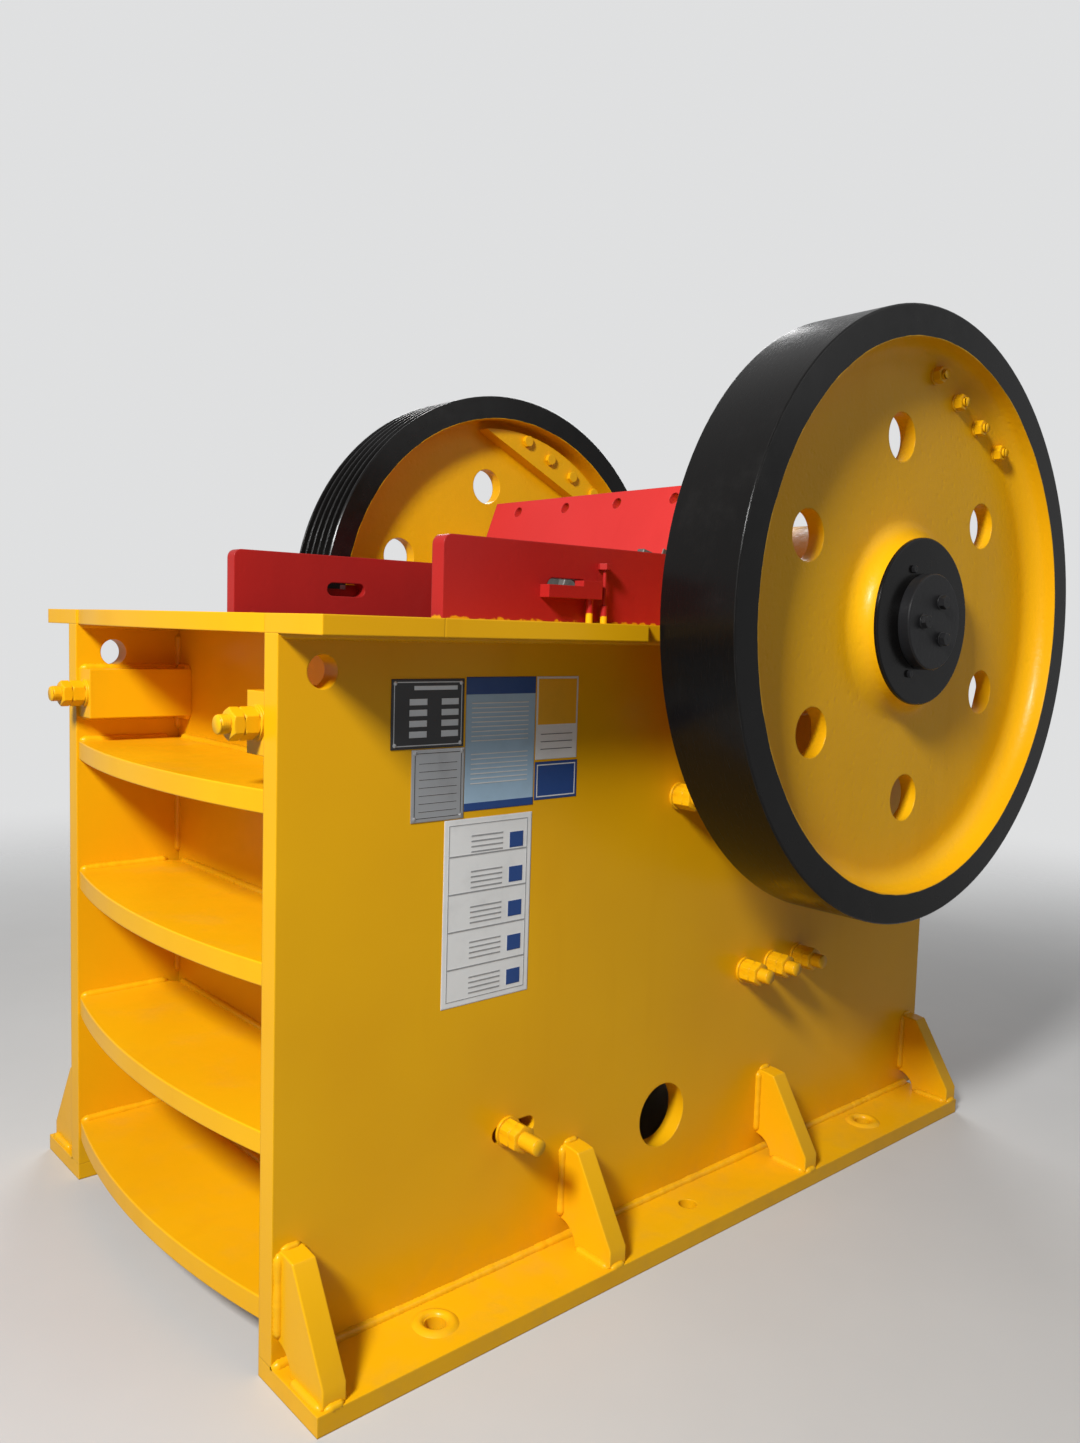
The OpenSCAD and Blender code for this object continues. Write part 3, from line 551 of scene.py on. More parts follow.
class Finishes:
    """Every finish on the machine, made once."""

    def __init__(self) -> None:
        """Makes the materials."""
        plate = Enamel("frame_enamel_finish", YELLOW, DEEP_YELLOW)
        cast = Enamel("cast_enamel_finish", YELLOW, DEEP_YELLOW, gloss=0.32, cast=0.0009, dust=0.25,
                      chips=0.0)
        self.frame = plate.material()
        self.weld = Enamel("weld_enamel_finish", YELLOW, DEEP_YELLOW, cast=0.0005,
                           rounded_edge=0.0).material()
        black, soft_black = (0.012, 0.012, 0.013), (0.02, 0.019, 0.019)
        self.bolt_black = Enamel("bolt_black_finish", black, soft_black, gloss=0.34, cast=0.0003,
                                 rounded_edge=0.0).material()
        self.cast_yellow = cast.material()
        self.wheel = WheelEnamel("wheel_enamel_finish", cast).material()
        red, deep_red = (0.40, 0.016, 0.014), (0.27, 0.009, 0.009)
        self.cheek = Enamel("cheek_enamel_finish", red, deep_red, gloss=0.33, cast=0.0004,
                            foot=DEEP_YELLOW, foot_z=1.468).material()
        self.clamp = Enamel("clamp_enamel_finish", red, deep_red, gloss=0.33, rounded_edge=0.002,
                            foot=YELLOW, foot_z=1.484).material()
        self.guard = Enamel("guard_enamel_finish", (0.63, 0.035, 0.032), (0.47, 0.018, 0.016),
                            gloss=0.33, cast=0.0003).material()
        self.black = Enamel("black_enamel_finish", black, soft_black, gloss=0.36, cast=0.0006,
                            dust=0.2).material()
        self.manganese = BareMetal("manganese_finish", (0.17, 0.16, 0.15), (0.10, 0.085, 0.07), 0.7, 0.5,
                                   60.0, 0.0012).material()
        self.cast_grey = BareMetal("cast_grey_finish", (0.12, 0.118, 0.115), (0.07, 0.06, 0.05), 0.6, 0.45,
                                   80.0, 0.0008).material()
        self.steel = BareMetal("bare_steel_finish", (0.42, 0.41, 0.4), (0.28, 0.24, 0.19), 1.0, 0.28,
                               120.0, 0.00012, (0.3, 4.0, 0.3)).material()
        self.spring = BareMetal("spring_finish", (0.05, 0.05, 0.052), (0.09, 0.06, 0.04), 0.5, 0.4, 90.0,
                                0.0003).material()
        self.dark_plate = Print("dark_plate_finish", (0.018, 0.018, 0.02), 0.3).material()
        self.grey_plate = Print("grey_plate_finish", (0.45, 0.46, 0.47), 0.28, 0.8).material()
        self.pale_blue = Print("pale_blue_print", (0.36, 0.52, 0.66)).material()
        self.dark_blue = Print("dark_blue_print", (0.012, 0.055, 0.22)).material()
        self.white = Print("white_print", (0.78, 0.78, 0.76)).material()
        self.amber = Print("amber_print", (0.85, 0.42, 0.01)).material()
        self.line = Print("line_print", (0.03, 0.03, 0.032)).material()

    def by_slot(self) -> dict[Slot, bpy.types.Material]:
        """The finish of each of the record's slots."""
        return {Slot.FRAME: self.frame, Slot.WHEEL: self.wheel, Slot.BLACK: self.black,
                Slot.CHEEK: self.cheek, Slot.GUARD: self.guard, Slot.MANGANESE: self.manganese,
                Slot.CAST: self.cast_grey, Slot.STEEL: self.steel}


class Soup:
    """Vertices and faces of many small things that become one mesh."""

    def __init__(self) -> None:
        """Starts empty."""
        self.points: list[np.ndarray] = []
        self.faces: list[tuple[int, ...]] = []
        self.smooth: list[bool] = []
        self.paints: list[int] = []
        self.count = 0
        self.paint = 0

    def add(self, points: np.ndarray, faces: list[tuple[int, ...]], smooth: bool = True) -> None:
        """Adds points and the faces between them.

        Args:
            points: one row per point.
            faces: corner numbers, counted within these points.
            smooth: whether the faces shade smoothly.
        """
        self.points.append(np.asarray(points, float))
        self.faces.extend(tuple(self.count + i for i in face) for face in faces)
        self.smooth.extend([smooth] * len(faces))
        self.paints.extend([self.paint] * len(faces))
        self.count += len(points)

    def grid(self, rings: np.ndarray, closed: bool = True, smooth: bool = True,
             caps: bool = False) -> None:
        """Adds a surface through rings of points.

        Args:
            rings: an array of rings by points by three.
            closed: whether each ring closes on itself.
            smooth: whether the faces shade smoothly.
            caps: whether the first and last ring are filled.
        """
        count, around = rings.shape[:2]
        faces = []
        for i in range(count - 1):
            for j in range(around if closed else around - 1):
                k = (j + 1) % around
                low, high = i * around, (i + 1) * around
                faces.append((low + j, low + k, high + k, high + j))
        if caps:
            faces.append(tuple(reversed(range(around))))
            faces.append(tuple((count - 1) * around + j for j in range(around)))
        self.add(rings.reshape(-1, 3), faces, smooth)

    def block(self, low: Vec, high: Vec) -> None:
        """Adds a box with small bevels.

        Args:
            low: its lowest corner.
            high: its highest corner.
        """
        soft = min(0.0008, min(b - a for a, b in zip(low, high)) / 4)
        rings = []
        levels = ((low[2], soft), (low[2] + soft, 0.0), (high[2] - soft, 0.0), (high[2], soft))
        for level, inset in levels:
            x0, x1, y0, y1 = low[0] + inset, high[0] - inset, low[1] + inset, high[1] - inset
            rings.append([(x0, y0, level), (x1, y0, level), (x1, y1, level), (x0, y1, level)])
        self.grid(np.array(rings), smooth=False, caps=True)

    def piece(self, name: str, body: Body, slot: Slot,
              *materials: bpy.types.Material) -> bpy.types.Object:
        """Makes the object, puts it on its body and reports it.

        Args:
            name: the piece's name.
            body: what it moves with.
            slot: the record's slot; not used.
            *materials: its materials, by paint number.

        Returns:
            The object.
        """
        mesh = bpy.data.meshes.new(name)
        mesh.from_pydata(np.concatenate(self.points).tolist(), [], self.faces)
        mesh.polygons.foreach_set("use_smooth", self.smooth)
        mesh.polygons.foreach_set("material_index", self.paints)
        for material in materials:
            mesh.materials.append(material)
        mesh.validate()
        mesh.update()
        made = bpy.data.objects.new(name, mesh)
        bpy.context.scene.collection.objects.link(made)
        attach(made, body.value)
        LOG.info("%s: %d faces", name, len(self.faces))
        return made


def turn_to(axis: Vec, at: Vec, spin: float = 0.0) -> Matrix:
    """The place at `at` of a thing made along +Z, turned by `spin` radians and then to the axis."""
    turn = Vector(axis).to_track_quat("Z", "Y").to_matrix().to_4x4()
    return Matrix.Translation(at) @ turn @ Matrix.Rotation(spin, 4, "Z")


def moved(rings: np.ndarray, matrix: Matrix) -> np.ndarray:
    """Moves an array of points by a matrix."""
    m = np.array(matrix)
    return rings @ m[:3, :3].T + m[:3, 3]


def lathe(rows: Sequence[tuple[Reach, Reach]], around: int) -> np.ndarray:
    """Turns a profile, the radius and height of each ring, about the Z axis in `around` points."""
    turns = np.linspace(0, 2 * math.pi, around, endpoint=False)
    return np.stack([np.stack([r * np.cos(turns), r * np.sin(turns), z + 0.0 * turns], 1) for r, z in rows])


@dataclass(frozen=True)
class Bolt:
    """A hexagon head or nut on a washer, with a threaded end."""

    thread_d: float
    flats: float
    height: float
    washer_d: float = 0.0
    washer_t: float = 0.0
    proud: float = 0.0
    pitch: float = 0.004
    around: int = 48

    def hexagon(self, soup: Soup, matrix: Matrix, base: float) -> None:
        """Adds the chamfered hexagon.

        Args:
            soup: the mesh.
            matrix: place of the bolt.
            base: distance of its seat from the origin.
        """
        turns = np.linspace(0, 2 * math.pi, self.around, endpoint=False)
        apothem = self.flats / 2
        radius = apothem / np.cos((turns + math.pi / 6) % (math.pi / 3) - math.pi / 6)
        flat_r = apothem * 0.96
        fall = np.maximum(0.0, radius - flat_r) * math.tan(math.radians(28))
        inner = self.thread_d / 2 if self.proud else 0.001
        top = self.height + base
        rows = ((flat_r, base), (radius, fall + base), (radius, self.height - fall + base), (flat_r, top),
                (inner, top))
        soup.grid(moved(lathe(rows, self.around), matrix), smooth=False)

    def ring(self, soup: Soup, matrix: Matrix) -> None:
        """Adds the washer under the hexagon.

        Args:
            soup: the mesh.
            matrix: place of the bolt.
        """
        radius, soft = self.washer_d / 2, self.washer_t * 0.25
        rows = ((radius - soft, 0.0), (radius, soft), (radius, self.washer_t - soft),
                (radius - soft, self.washer_t), (self.thread_d / 2, self.washer_t))
        soup.grid(moved(lathe(rows, self.around), matrix))

    def thread(self, soup: Soup, matrix: Matrix, base: float, length: float,
               extra: float = 0.0) -> None:
        """Adds a threaded end.

        Args:
            soup: the mesh.
            matrix: place of the bolt.
            base: where the thread starts.
            length: how far it runs.
            extra: how far it stands out over the thread's own radius.
        """
        around = 24
        turns = np.linspace(0, 2 * math.pi, around + 1)
        rows = int(2 * length / self.pitch)
        rings = []
        for i in range(rows):
            crest = self.thread_d / 2 + extra - (0.0 if i % 2 else self.pitch * 0.5)
            along = base + (i - 1) * self.pitch / 2 + self.pitch * turns / (2 * math.pi)
            along = np.clip(along, base, base + length)
            rings.append(np.stack([crest * np.cos(turns), crest * np.sin(turns), along], 1))
        soup.grid(moved(np.stack(rings), matrix), closed=False)
        tip = self.thread_d / 2 + extra
        rows = ((tip - self.pitch * 0.3, base + (length - self.pitch * 0.4)),
                (tip - self.pitch * 0.6, base + length), (0.0005, base + length))
        soup.grid(moved(lathe(rows, around), matrix))

    def add(self, soup: Soup, axis: Vec, at: Vec, spin: float = 0.0) -> None:
        """Adds the whole bolt.

        Args:
            soup: the mesh.
            axis: where it points.
            at: the middle of its seat.
            spin: turn of the hexagon, in radians.
        """
        matrix = turn_to(axis, at, spin)
        if self.washer_t:
            self.ring(soup, matrix)
        self.hexagon(soup, matrix, self.washer_t)
        if self.proud:
            self.thread(soup, matrix, self.washer_t + self.height, self.proud)


@dataclass
class Seams:
    """Weld beads: rippled fillets along the lines where plates meet."""

    leg: float = 0.011
    step: float = 0.0045
    around: int = 8
    seed: int = 11
    soup: Soup = field(default_factory=Soup)

    def __post_init__(self) -> None:
        """Starts the random source."""
        self.random = random.Random(self.seed)

    def run(self, points: list[Vec], leg: float = 0.0) -> None:
        """Adds a bead along a line of points.

        Args:
            points: the line that the bead is centred on.
            leg: the bead's radius, the seams' own if 0.
        """
        leg = leg or self.leg
        line = [Vector(p) for p in points]
        places = []
        for a, b in zip(line, line[1:]):
            count = max(2, int((b - a).length / self.step))
            places.extend(a.lerp(b, i / count) for i in range(count))
        places.append(line[-1])
        turns = np.linspace(0, 2 * math.pi, self.around, endpoint=False)
        rings = []
        wander = 0.0
        for i, place in enumerate(places):
            ahead = places[min(i + 1, len(places) - 1)] - places[max(i - 1, 0)]
            turn = Vector((0.0, 0.0, 1.0)).rotation_difference(ahead).to_matrix()
            wander = 0.85 * wander + self.random.uniform(-0.05, 0.05)
            end = min(1.0, 0.35 + 0.3 * min(i, len(places) - 1 - i))
            size = leg * end * (1.0 + wander + (0.07 if i % 2 else -0.05))
            ring = np.stack([size * np.cos(turns), size * np.sin(turns), np.zeros(self.around)], 1)
            rings.append(ring @ np.array(turn).T + np.array(place))
        self.soup.grid(np.stack(rings), caps=True)


class EdgeSoftener:
    """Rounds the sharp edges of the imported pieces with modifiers."""

    def __init__(self, angle: float = math.radians(32)) -> None:
        """Makes the group that joins the mesh and marks its sharp edges.

        Args:
            angle: edges sharper than this stay sharp.
        """
        self.angle = angle
        self.group = bpy.data.node_groups.new("join_and_shade", "GeometryNodeTree")
        self.group.interface.new_socket("Geometry", in_out="INPUT", socket_type="NodeSocketGeometry")
        self.group.interface.new_socket("Geometry", in_out="OUTPUT", socket_type="NodeSocketGeometry")
        nodes, links = self.group.nodes, self.group.links
        start = nodes.new("NodeGroupInput")
        join = nodes.new("GeometryNodeMergeByDistance")
        join.inputs["Distance"].default_value = 0.00002
        faces = nodes.new("GeometryNodeSetShadeSmooth")
        faces.domain = "FACE"
        edges = nodes.new("GeometryNodeSetShadeSmooth")
        edges.domain = "EDGE"
        sharp = nodes.new("GeometryNodeInputMeshEdgeAngle")
        flat = nodes.new("ShaderNodeMath")
        flat.operation = "LESS_THAN"
        flat.inputs[1].default_value = angle
        end = nodes.new("NodeGroupOutput")
        links.new(start.outputs[0], join.inputs["Geometry"])
        links.new(join.outputs["Geometry"], faces.inputs["Geometry"])
        links.new(faces.outputs["Geometry"], edges.inputs["Geometry"])
        links.new(sharp.outputs["Unsigned Angle"], flat.inputs[0])
        links.new(flat.outputs[0], edges.inputs["Shade Smooth"])
        links.new(edges.outputs["Geometry"], end.inputs[0])

    def soften(self, node: str, width: float) -> None:
        """Rounds one node's edges.

        Args:
            node: the node's name.
            width: the rounding, in metres.
        """
        piece = frame["nodes"][node]
        join = piece.modifiers.new("join", "NODES")
        join.node_group = self.group
        if width:
            bevel = piece.modifiers.new("round", "BEVEL")
            bevel.width = width
            bevel.segments = 2
            bevel.limit_method = "ANGLE"
            bevel.angle_limit = self.angle
            bevel.harden_normals = True
            bevel.use_clamp_overlap = True


@dataclass
class Dressing:
    """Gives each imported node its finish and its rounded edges."""

    finishes: Finishes
    rounding: float = 0.003
    rounded: tuple[str, ...] = ("gussets", "front", "fixed_jaw", "swing_jaw_plate", "rear_ribs", "toggle",
                                "counterweights")
    castings: tuple[str, ...] = ("bearing_seats", "bearing_caps", "swing_jaw_front", "swing_jaw_head",
                                 "swing_jaw_ribs", "swing_jaw_foot")

    def dress(self) -> None:
        """Dresses all the nodes."""
        softener = EdgeSoftener()
        slots = {part["node"]: Slot(part["material_slot"]) for part in frame["record"]["subparts"]}
        materials = self.finishes.by_slot()
        for node, piece in frame["nodes"].items():
            piece.data.materials.clear()
            finish = self.finishes.cast_yellow if node in self.castings else materials[slots[node]]
            piece.data.materials.append(self.finishes.clamp if node == "cheek_clamps" else finish)
            softener.soften(node, self.rounding if node.startswith(self.rounded) else 0.0)
        LOG.info("dressed %d nodes", len(frame["nodes"]))


@dataclass
class WeldedFrame:
    """Weld seams of the frame. Places along it are measured from its front edge."""

    finishes: Finishes
    foot_end: float = 2.235
    rib_z: tuple[float, ...] = (0.132, 0.460, 0.788, 1.116)
    rib_t: float = 0.046
    rib_start: float = 0.008
    wall_x: float = 0.265
    wall_half: float = 0.464
    wall_gap: float = 0.03
    post_gap: float = 0.02
    gusset_x: tuple[float, ...] = (0.014, 0.739, 1.464, 2.189)
    gusset_t: float = 0.050
    gusset_h: float = 0.228
    gusset_reach: float = 0.164
    gusset_notch: float = 0.055
    gusset_edge: float = 0.004
    toe_gap: float = 0.003
    foot_leg: float = 0.012
    toe_leg: float = 0.009
    crown_leg: float = 0.008
    top_runs: tuple[tuple[float, float], ...] = ((0.004, 1.328), (1.818, 1.955))
    box_z: tuple[float, ...] = (1.2, 1.32)
    box_start: float = 0.01
    box_reach: float = 0.26
    box_sunk: float = 0.001
    wall_face: float = 0.262
    box_end_y: tuple[float, float] = (0.486, 0.416)
    rear_rib_z: tuple[float, ...] = (0.460, 0.788, 1.116)
    rear_rib_x: tuple[float, float] = (1.845, 2.17)
    seat_r: float = 0.251
    seat_arc: tuple[float, float] = (-163.0, 146.0)
    seat_steps: int = 24

    def build(self) -> None:
        """Builds the seams."""
        seams = Seams()
        for side in Side:
            self.feet(seams, side)
            self.ribs(seams, side)
            self.top(seams, side)
            self.rear(seams, side)
        x = AT.x(self.wall_x)
        for level in self.rib_z:
            for half in (-self.rib_t / 2, self.rib_t / 2):
                seams.run([(x, -self.wall_half, level + half), (x, self.wall_half, level + half)])
        seams.soup.piece("weld_seams", Body.FRAME, Slot.FRAME, self.finishes.weld)

    def along(self, seams: Seams, start: float, end: float, y: float, z: float, leg: float = 0.0) -> None:
        """Adds a seam that runs along the machine, from `start` to `end` behind its front edge."""
        seams.run([(AT.x(start), y, z), (AT.x(end), y, z)], leg)

    def feet(self, seams: Seams, side: Side) -> None:
        """Adds the seams of a foot flange and its gussets.

        Args:
            seams: the seams.
            side: the side.
        """
        s, y, z = side.value, AT.plate_out, AT.floor_flange
        self.along(seams, 0.0, self.foot_end, s * y, z, self.foot_leg)
        for start in self.gusset_x:
            for x in (AT.x(start), AT.x(start + self.gusset_t)):
                seams.run([(x, s * y, z + self.gusset_notch),
                           (x, s * y, z + self.gusset_h - self.gusset_edge)])
                seams.run([(x, s * (y + self.gusset_notch), z),
                           (x, s * (y + self.gusset_reach - self.toe_gap), z)])
            low, high = start + self.gusset_edge, start + self.gusset_t - self.gusset_edge
            self.along(seams, low, high, s * (y + self.gusset_reach), z, self.toe_leg)
            self.along(seams, low, high, s * y, z + self.gusset_h, self.crown_leg)

    def ribs(self, seams: Seams, side: Side) -> None:
        """Adds the seams between the front ribs, the wall and a side plate.

        Args:
            seams: the seams.
            side: the side.
        """
        y = side.value * AT.plate_in
        for level in self.rib_z:
            for half in (-self.rib_t / 2, self.rib_t / 2):
                self.along(seams, self.rib_start, self.wall_x - self.wall_gap, y, level + half)
        x, clear = AT.x(self.wall_x), self.rib_t / 2 + self.post_gap
        for low, high in zip(self.rib_z, self.rib_z[1:] + (AT.top_low + self.rib_t / 2,)):
            seams.run([(x, y, low + clear), (x, y, high - clear)])

    def top(self, seams: Seams, side: Side) -> None:
        """Adds the seams under a top flange and round a corner box.

        Args:
            seams: the seams.
            side: the side.
        """
        s = side.value
        for start, end in self.top_runs:
            self.along(seams, start, end, s * AT.plate_out, AT.top_low)
        self.along(seams, self.rib_start, self.wall_face, s * AT.plate_in, AT.top_low)
        for level in self.box_z:
            y = s * (AT.plate_in - self.box_sunk)
            self.along(seams, self.box_start, self.box_reach, y, level)
            x = AT.x(self.wall_face)
            seams.run([(x, s * y, level) for y in self.box_end_y])

    def rear(self, seams: Seams, side: Side) -> None:
        """Adds the seams of the rear ribs and round a bearing seat.

        Args:
            seams: the seams.
            side: the side.
        """
        s = side.value
        for level in self.rear_rib_z:
            for half in (-self.rib_t / 2, self.rib_t / 2):
                self.along(seams, *self.rear_rib_x, s * AT.plate_in, level + half)
        first, turn = self.seat_arc
        arc = [math.radians(first + turn * i / self.seat_steps) for i in range(self.seat_steps + 1)]
        rim = [(AT.shaft_x + self.seat_r * math.cos(a), AT.shaft_z + self.seat_r * math.sin(a)) for a in arc]
        for y in (AT.plate_out, AT.plate_in):
            seams.run([(x, s * y, z) for x, z in rim])


@dataclass
class SmallBolts:
    """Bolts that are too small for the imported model, and the threads of its studs."""

    finishes: Finishes
    weight_reach: float = 0.598
    weight_places: tuple[float, ...] = (-0.181, -0.060, 0.060, 0.181)
    web_face: float = 0.837
    weight_face: float = 0.743
    end_face: float = 0.925
    hub_face: float = 0.895
    end_bolt_r: float = 0.054
    end_bolt_turns: tuple[float, ...] = (65.0, 180.0, -50.0)
    plug_r: float = 0.140
    plug_turns: tuple[float, ...] = (116.0, -114.0)
    ear_x: float = 0.310
    ear_y: tuple[float, ...] = (0.533, 0.597)
    ear_top: float = 1.554
    weight_nut: Bolt = Bolt(0.024, 0.036, 0.020, 0.044, 0.004, 0.010, 0.003)
    weight_head: Bolt = Bolt(0.024, 0.036, 0.015)
    end_bolt: Bolt = Bolt(0.020, 0.030, 0.013, 0.037, 0.003)
    plug: Bolt = Bolt(0.010, 0.017, 0.008)
    ear_nut: Bolt = Bolt(0.036, 0.055, 0.029, 0.066, 0.005, 0.020)
    stud: Bolt = Bolt(0.036, 0.055, 0.030)
    studs: tuple[tuple[float, float, float], ...] = (
        (1.380, 0.562, 0.628), (1.497, 0.562, 0.628), (1.614, 0.562, 0.628), (0.570, 0.346, 0.648),
        (1.092, 1.051, 0.624))
    stud_start: float = 0.5984
    stud_over: float = 0.0008
    box_stud: Vec = (-0.0525, 0.451, 1.260)
    box_stud_l: float = 0.0223
    crest: float = 0.001

    def build(self) -> None:
        """Builds the bolts of both sides."""
        turning, still, ends = Soup(), Soup(), Soup()
        for side in Side:
            self.weights(turning, side)
            self.shaft_end(ends, side)
            self.ears(still, side)
            self.threads(still, side)
        turning.piece("counterweight_bolts", Body.SHAFT, Slot.WHEEL, self.finishes.weld)
        ends.piece("shaft_end_bolts", Body.SHAFT, Slot.BLACK, self.finishes.bolt_black)
        still.piece("bearing_nuts_and_threads", Body.FRAME, Slot.FRAME, self.finishes.weld)

    def around(self, degrees: float, radius: float, y: float) -> Vec:
        """The place at a distance from the shaft axis, in degrees from the rear upwards."""
        turn = math.radians(degrees)
        return (AT.shaft_x + radius * math.cos(turn), y, AT.shaft_z + radius * math.sin(turn))

    def weights(self, soup: Soup, side: Side) -> None:
        """Adds the through bolts of a counterweight.

        Args:
            soup: the mesh.
            side: the side.
        """
        s, turn = side.value, AT.wheel_angle
        for i, along in enumerate(self.weight_places):
            x = AT.shaft_x + self.weight_reach * math.cos(turn) - along * math.sin(turn)
            z = AT.shaft_z + self.weight_reach * math.sin(turn) + along * math.cos(turn)
            self.weight_nut.add(soup, (0, s, 0), (x, s * self.web_face, z), 0.4 + i)
            self.weight_head.add(soup, (0, -s, 0), (x, s * self.weight_face, z), 0.9 * i)

    def shaft_end(self, soup: Soup, side: Side) -> None:
        """Adds the bolts of a shaft end plate and the plugs beside it.

        Args:
            soup: the mesh.
            side: the side.
        """
        s = side.value
        for i, degrees in enumerate(self.end_bolt_turns):
            at = self.around(degrees, self.end_bolt_r, s * self.end_face)
            self.end_bolt.add(soup, (0, s, 0), at, 0.7 * i)
        for degrees in self.plug_turns:
            self.plug.add(soup, (0, s, 0), self.around(degrees, self.plug_r, s * self.hub_face), 0.3)

    def ears(self, soup: Soup, side: Side) -> None:
        """Adds the nuts that hold a bearing cap down.

        Args:
            soup: the mesh.
            side: the side.
        """
        for i, across in enumerate((-self.ear_x, self.ear_x)):
            for j, y in enumerate(self.ear_y):
                at = (AT.shaft_x + across, side.value * y, self.ear_top)
                self.ear_nut.add(soup, (0, 0, 1), at, i + 0.6 * j)

    def threads(self, soup: Soup, side: Side) -> None:
        """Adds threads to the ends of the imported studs.

        Args:
            soup: the mesh.
            side: the side.
        """
        s = side.value
        for x, z, end in self.studs:
            matrix = turn_to((0, s, 0), (AT.x(x), s * self.stud_start, z))
            self.stud.thread(soup, matrix, 0.0, end - self.stud_start + self.stud_over, self.crest)
        x, y, z = self.box_stud
        self.stud.thread(soup, turn_to((-1, 0, 0), (AT.x(x), s * y, z)), 0.0, self.box_stud_l, self.crest)


@dataclass
class BearingCovers:
    """Bolted rings on the ends of the bearing barrels."""

    finishes: Finishes
    inner_r: float = 0.196
    outer_r: float = 0.246
    bolt_r: float = 0.228
    thick: float = 0.012
    soft: float = 0.0015
    faces: tuple[tuple[float, int], ...] = ((0.670, 1), (0.470, -1))
    bolt_n: int = 12
    bolt: Bolt = Bolt(0.012, 0.019, 0.008, 0.024, 0.002)

    def build(self) -> None:
        """Builds the four covers."""
        soup = Soup()
        inner, outer, lip = self.inner_r, self.outer_r, self.thick - self.soft
        rings = lathe(((inner, 0.0), (inner, lip), (inner + self.soft, self.thick),
                       (outer - self.soft, self.thick), (outer, lip), (outer, 0.0)), 144)
        for side in Side:
            for face, out in self.faces:
                way = side.value * out
                matrix = turn_to((0, way, 0), (AT.shaft_x, side.value * face, AT.shaft_z))
                soup.grid(moved(rings, matrix), smooth=False)
                for i in range(self.bolt_n):
                    turn = 2 * math.pi * (i + 0.5) / self.bolt_n
                    spot = Vector((self.bolt_r * math.cos(turn), self.bolt_r * math.sin(turn), self.thick))
                    self.bolt.add(soup, (0, way, 0), tuple(matrix @ spot), turn)
        soup.piece("bearing_covers", Body.FRAME, Slot.FRAME, self.finishes.weld)


@dataclass
class SpringCoil:
    """The coil of the tension rod's spring, and the rod's thread."""

    finishes: Finishes
    start: float = 1.806
    end: float = 2.010
    axis_z: float = 0.185
    coil_r: float = 0.051
    wire_r: float = 0.009
    turns: float = 6.5
    closed: float = 0.3
    steps_a_turn: int = 40
    wire_sides: int = 14
    rod: Bolt = Bolt(0.040, 0.055, 0.030)
    rod_start: float = 2.0835
    rod_thread: float = 0.0223
    crest: float = 0.001

    def build(self) -> None:
        """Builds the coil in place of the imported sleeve."""
        steps = int(self.turns * self.steps_a_turn)
        along = np.linspace(0.0, self.turns, steps)
        rise = np.clip((along - self.closed) / (self.turns - 2 * self.closed), 0.0, 1.0)
        x = AT.x(self.start) + self.wire_r + rise * (self.end - self.start - 2 * self.wire_r)
        turn = 2 * math.pi * along
        radial = np.stack([np.zeros(steps), np.cos(turn), np.sin(turn)], 1)
        centre = np.stack([x, self.coil_r * np.cos(turn), self.axis_z + self.coil_r * np.sin(turn)], 1)
        rings = []
        for part in np.linspace(0, 2 * math.pi, self.wire_sides, endpoint=False):
            axial = np.array([self.wire_r * math.cos(part), 0.0, 0.0])
            rings.append(centre + radial * self.wire_r * math.sin(part) + axial)
        soup = Soup()
        soup.grid(np.stack(rings, 1), caps=True)
        coil = soup.piece("spring_coil", Body.JAW, Slot.STEEL, self.finishes.spring)
        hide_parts("tension_spring")
        ends = Soup()
        matrix = turn_to((1, 0, 0), (AT.x(self.rod_start), 0.0, self.axis_z))
        self.rod.thread(ends, matrix, 0.0, self.rod_thread, self.crest)
        ends.piece("rod_thread", Body.JAW, Slot.STEEL, self.finishes.steel)


@dataclass
class AnchorRings:
    """Lumpy rings of paint and weld round the anchor holes of the feet."""

    finishes: Finishes
    places: tuple[float, ...] = (0.325, 1.865)
    gauge: float = 0.620
    rows: tuple[Vec, ...] = ((0.0242, -0.002, 0.0), (0.026, 0.004, 0.0003), (0.034, 0.0075, 0.0009),
                             (0.043, 0.0055, 0.0009), (0.050, -0.0006, 0.0016))
    seed: int = 5

    def build(self) -> None:
        """Builds the rings: each row has its radius, its height over the foot and its lumps' depth."""
        source = np.random.default_rng(self.seed)
        turns = np.linspace(0, 2 * math.pi, 56, endpoint=False)
        soup = Soup()
        for side in Side:
            for place in self.places:
                waves = sum(source.uniform(0.2, 1.0) / k * np.sin(k * turns + source.uniform(0, 6.28))
                            for k in range(2, 9))
                rings = []
                for radius, high, lump in self.rows:
                    r = radius + lump * waves
                    z = AT.floor_flange + high + (0.8 * lump * waves if high > 0 else 0.0)
                    x, y = AT.x(place) + r * np.cos(turns), side.value * self.gauge + r * np.sin(turns)
                    rings.append(np.stack([x, y, z * np.ones_like(turns)], 1))
                soup.grid(np.stack(rings[::-1]))
        soup.piece("anchor_rings", Body.FRAME, Slot.FRAME, self.finishes.weld)


class Ink(Enum):
    """The paints of the plates, by number."""

    DARK = 0
    GREY = 1
    PALE_BLUE = 2
    DARK_BLUE = 3
    WHITE = 4
    AMBER = 5
    LINE = 6


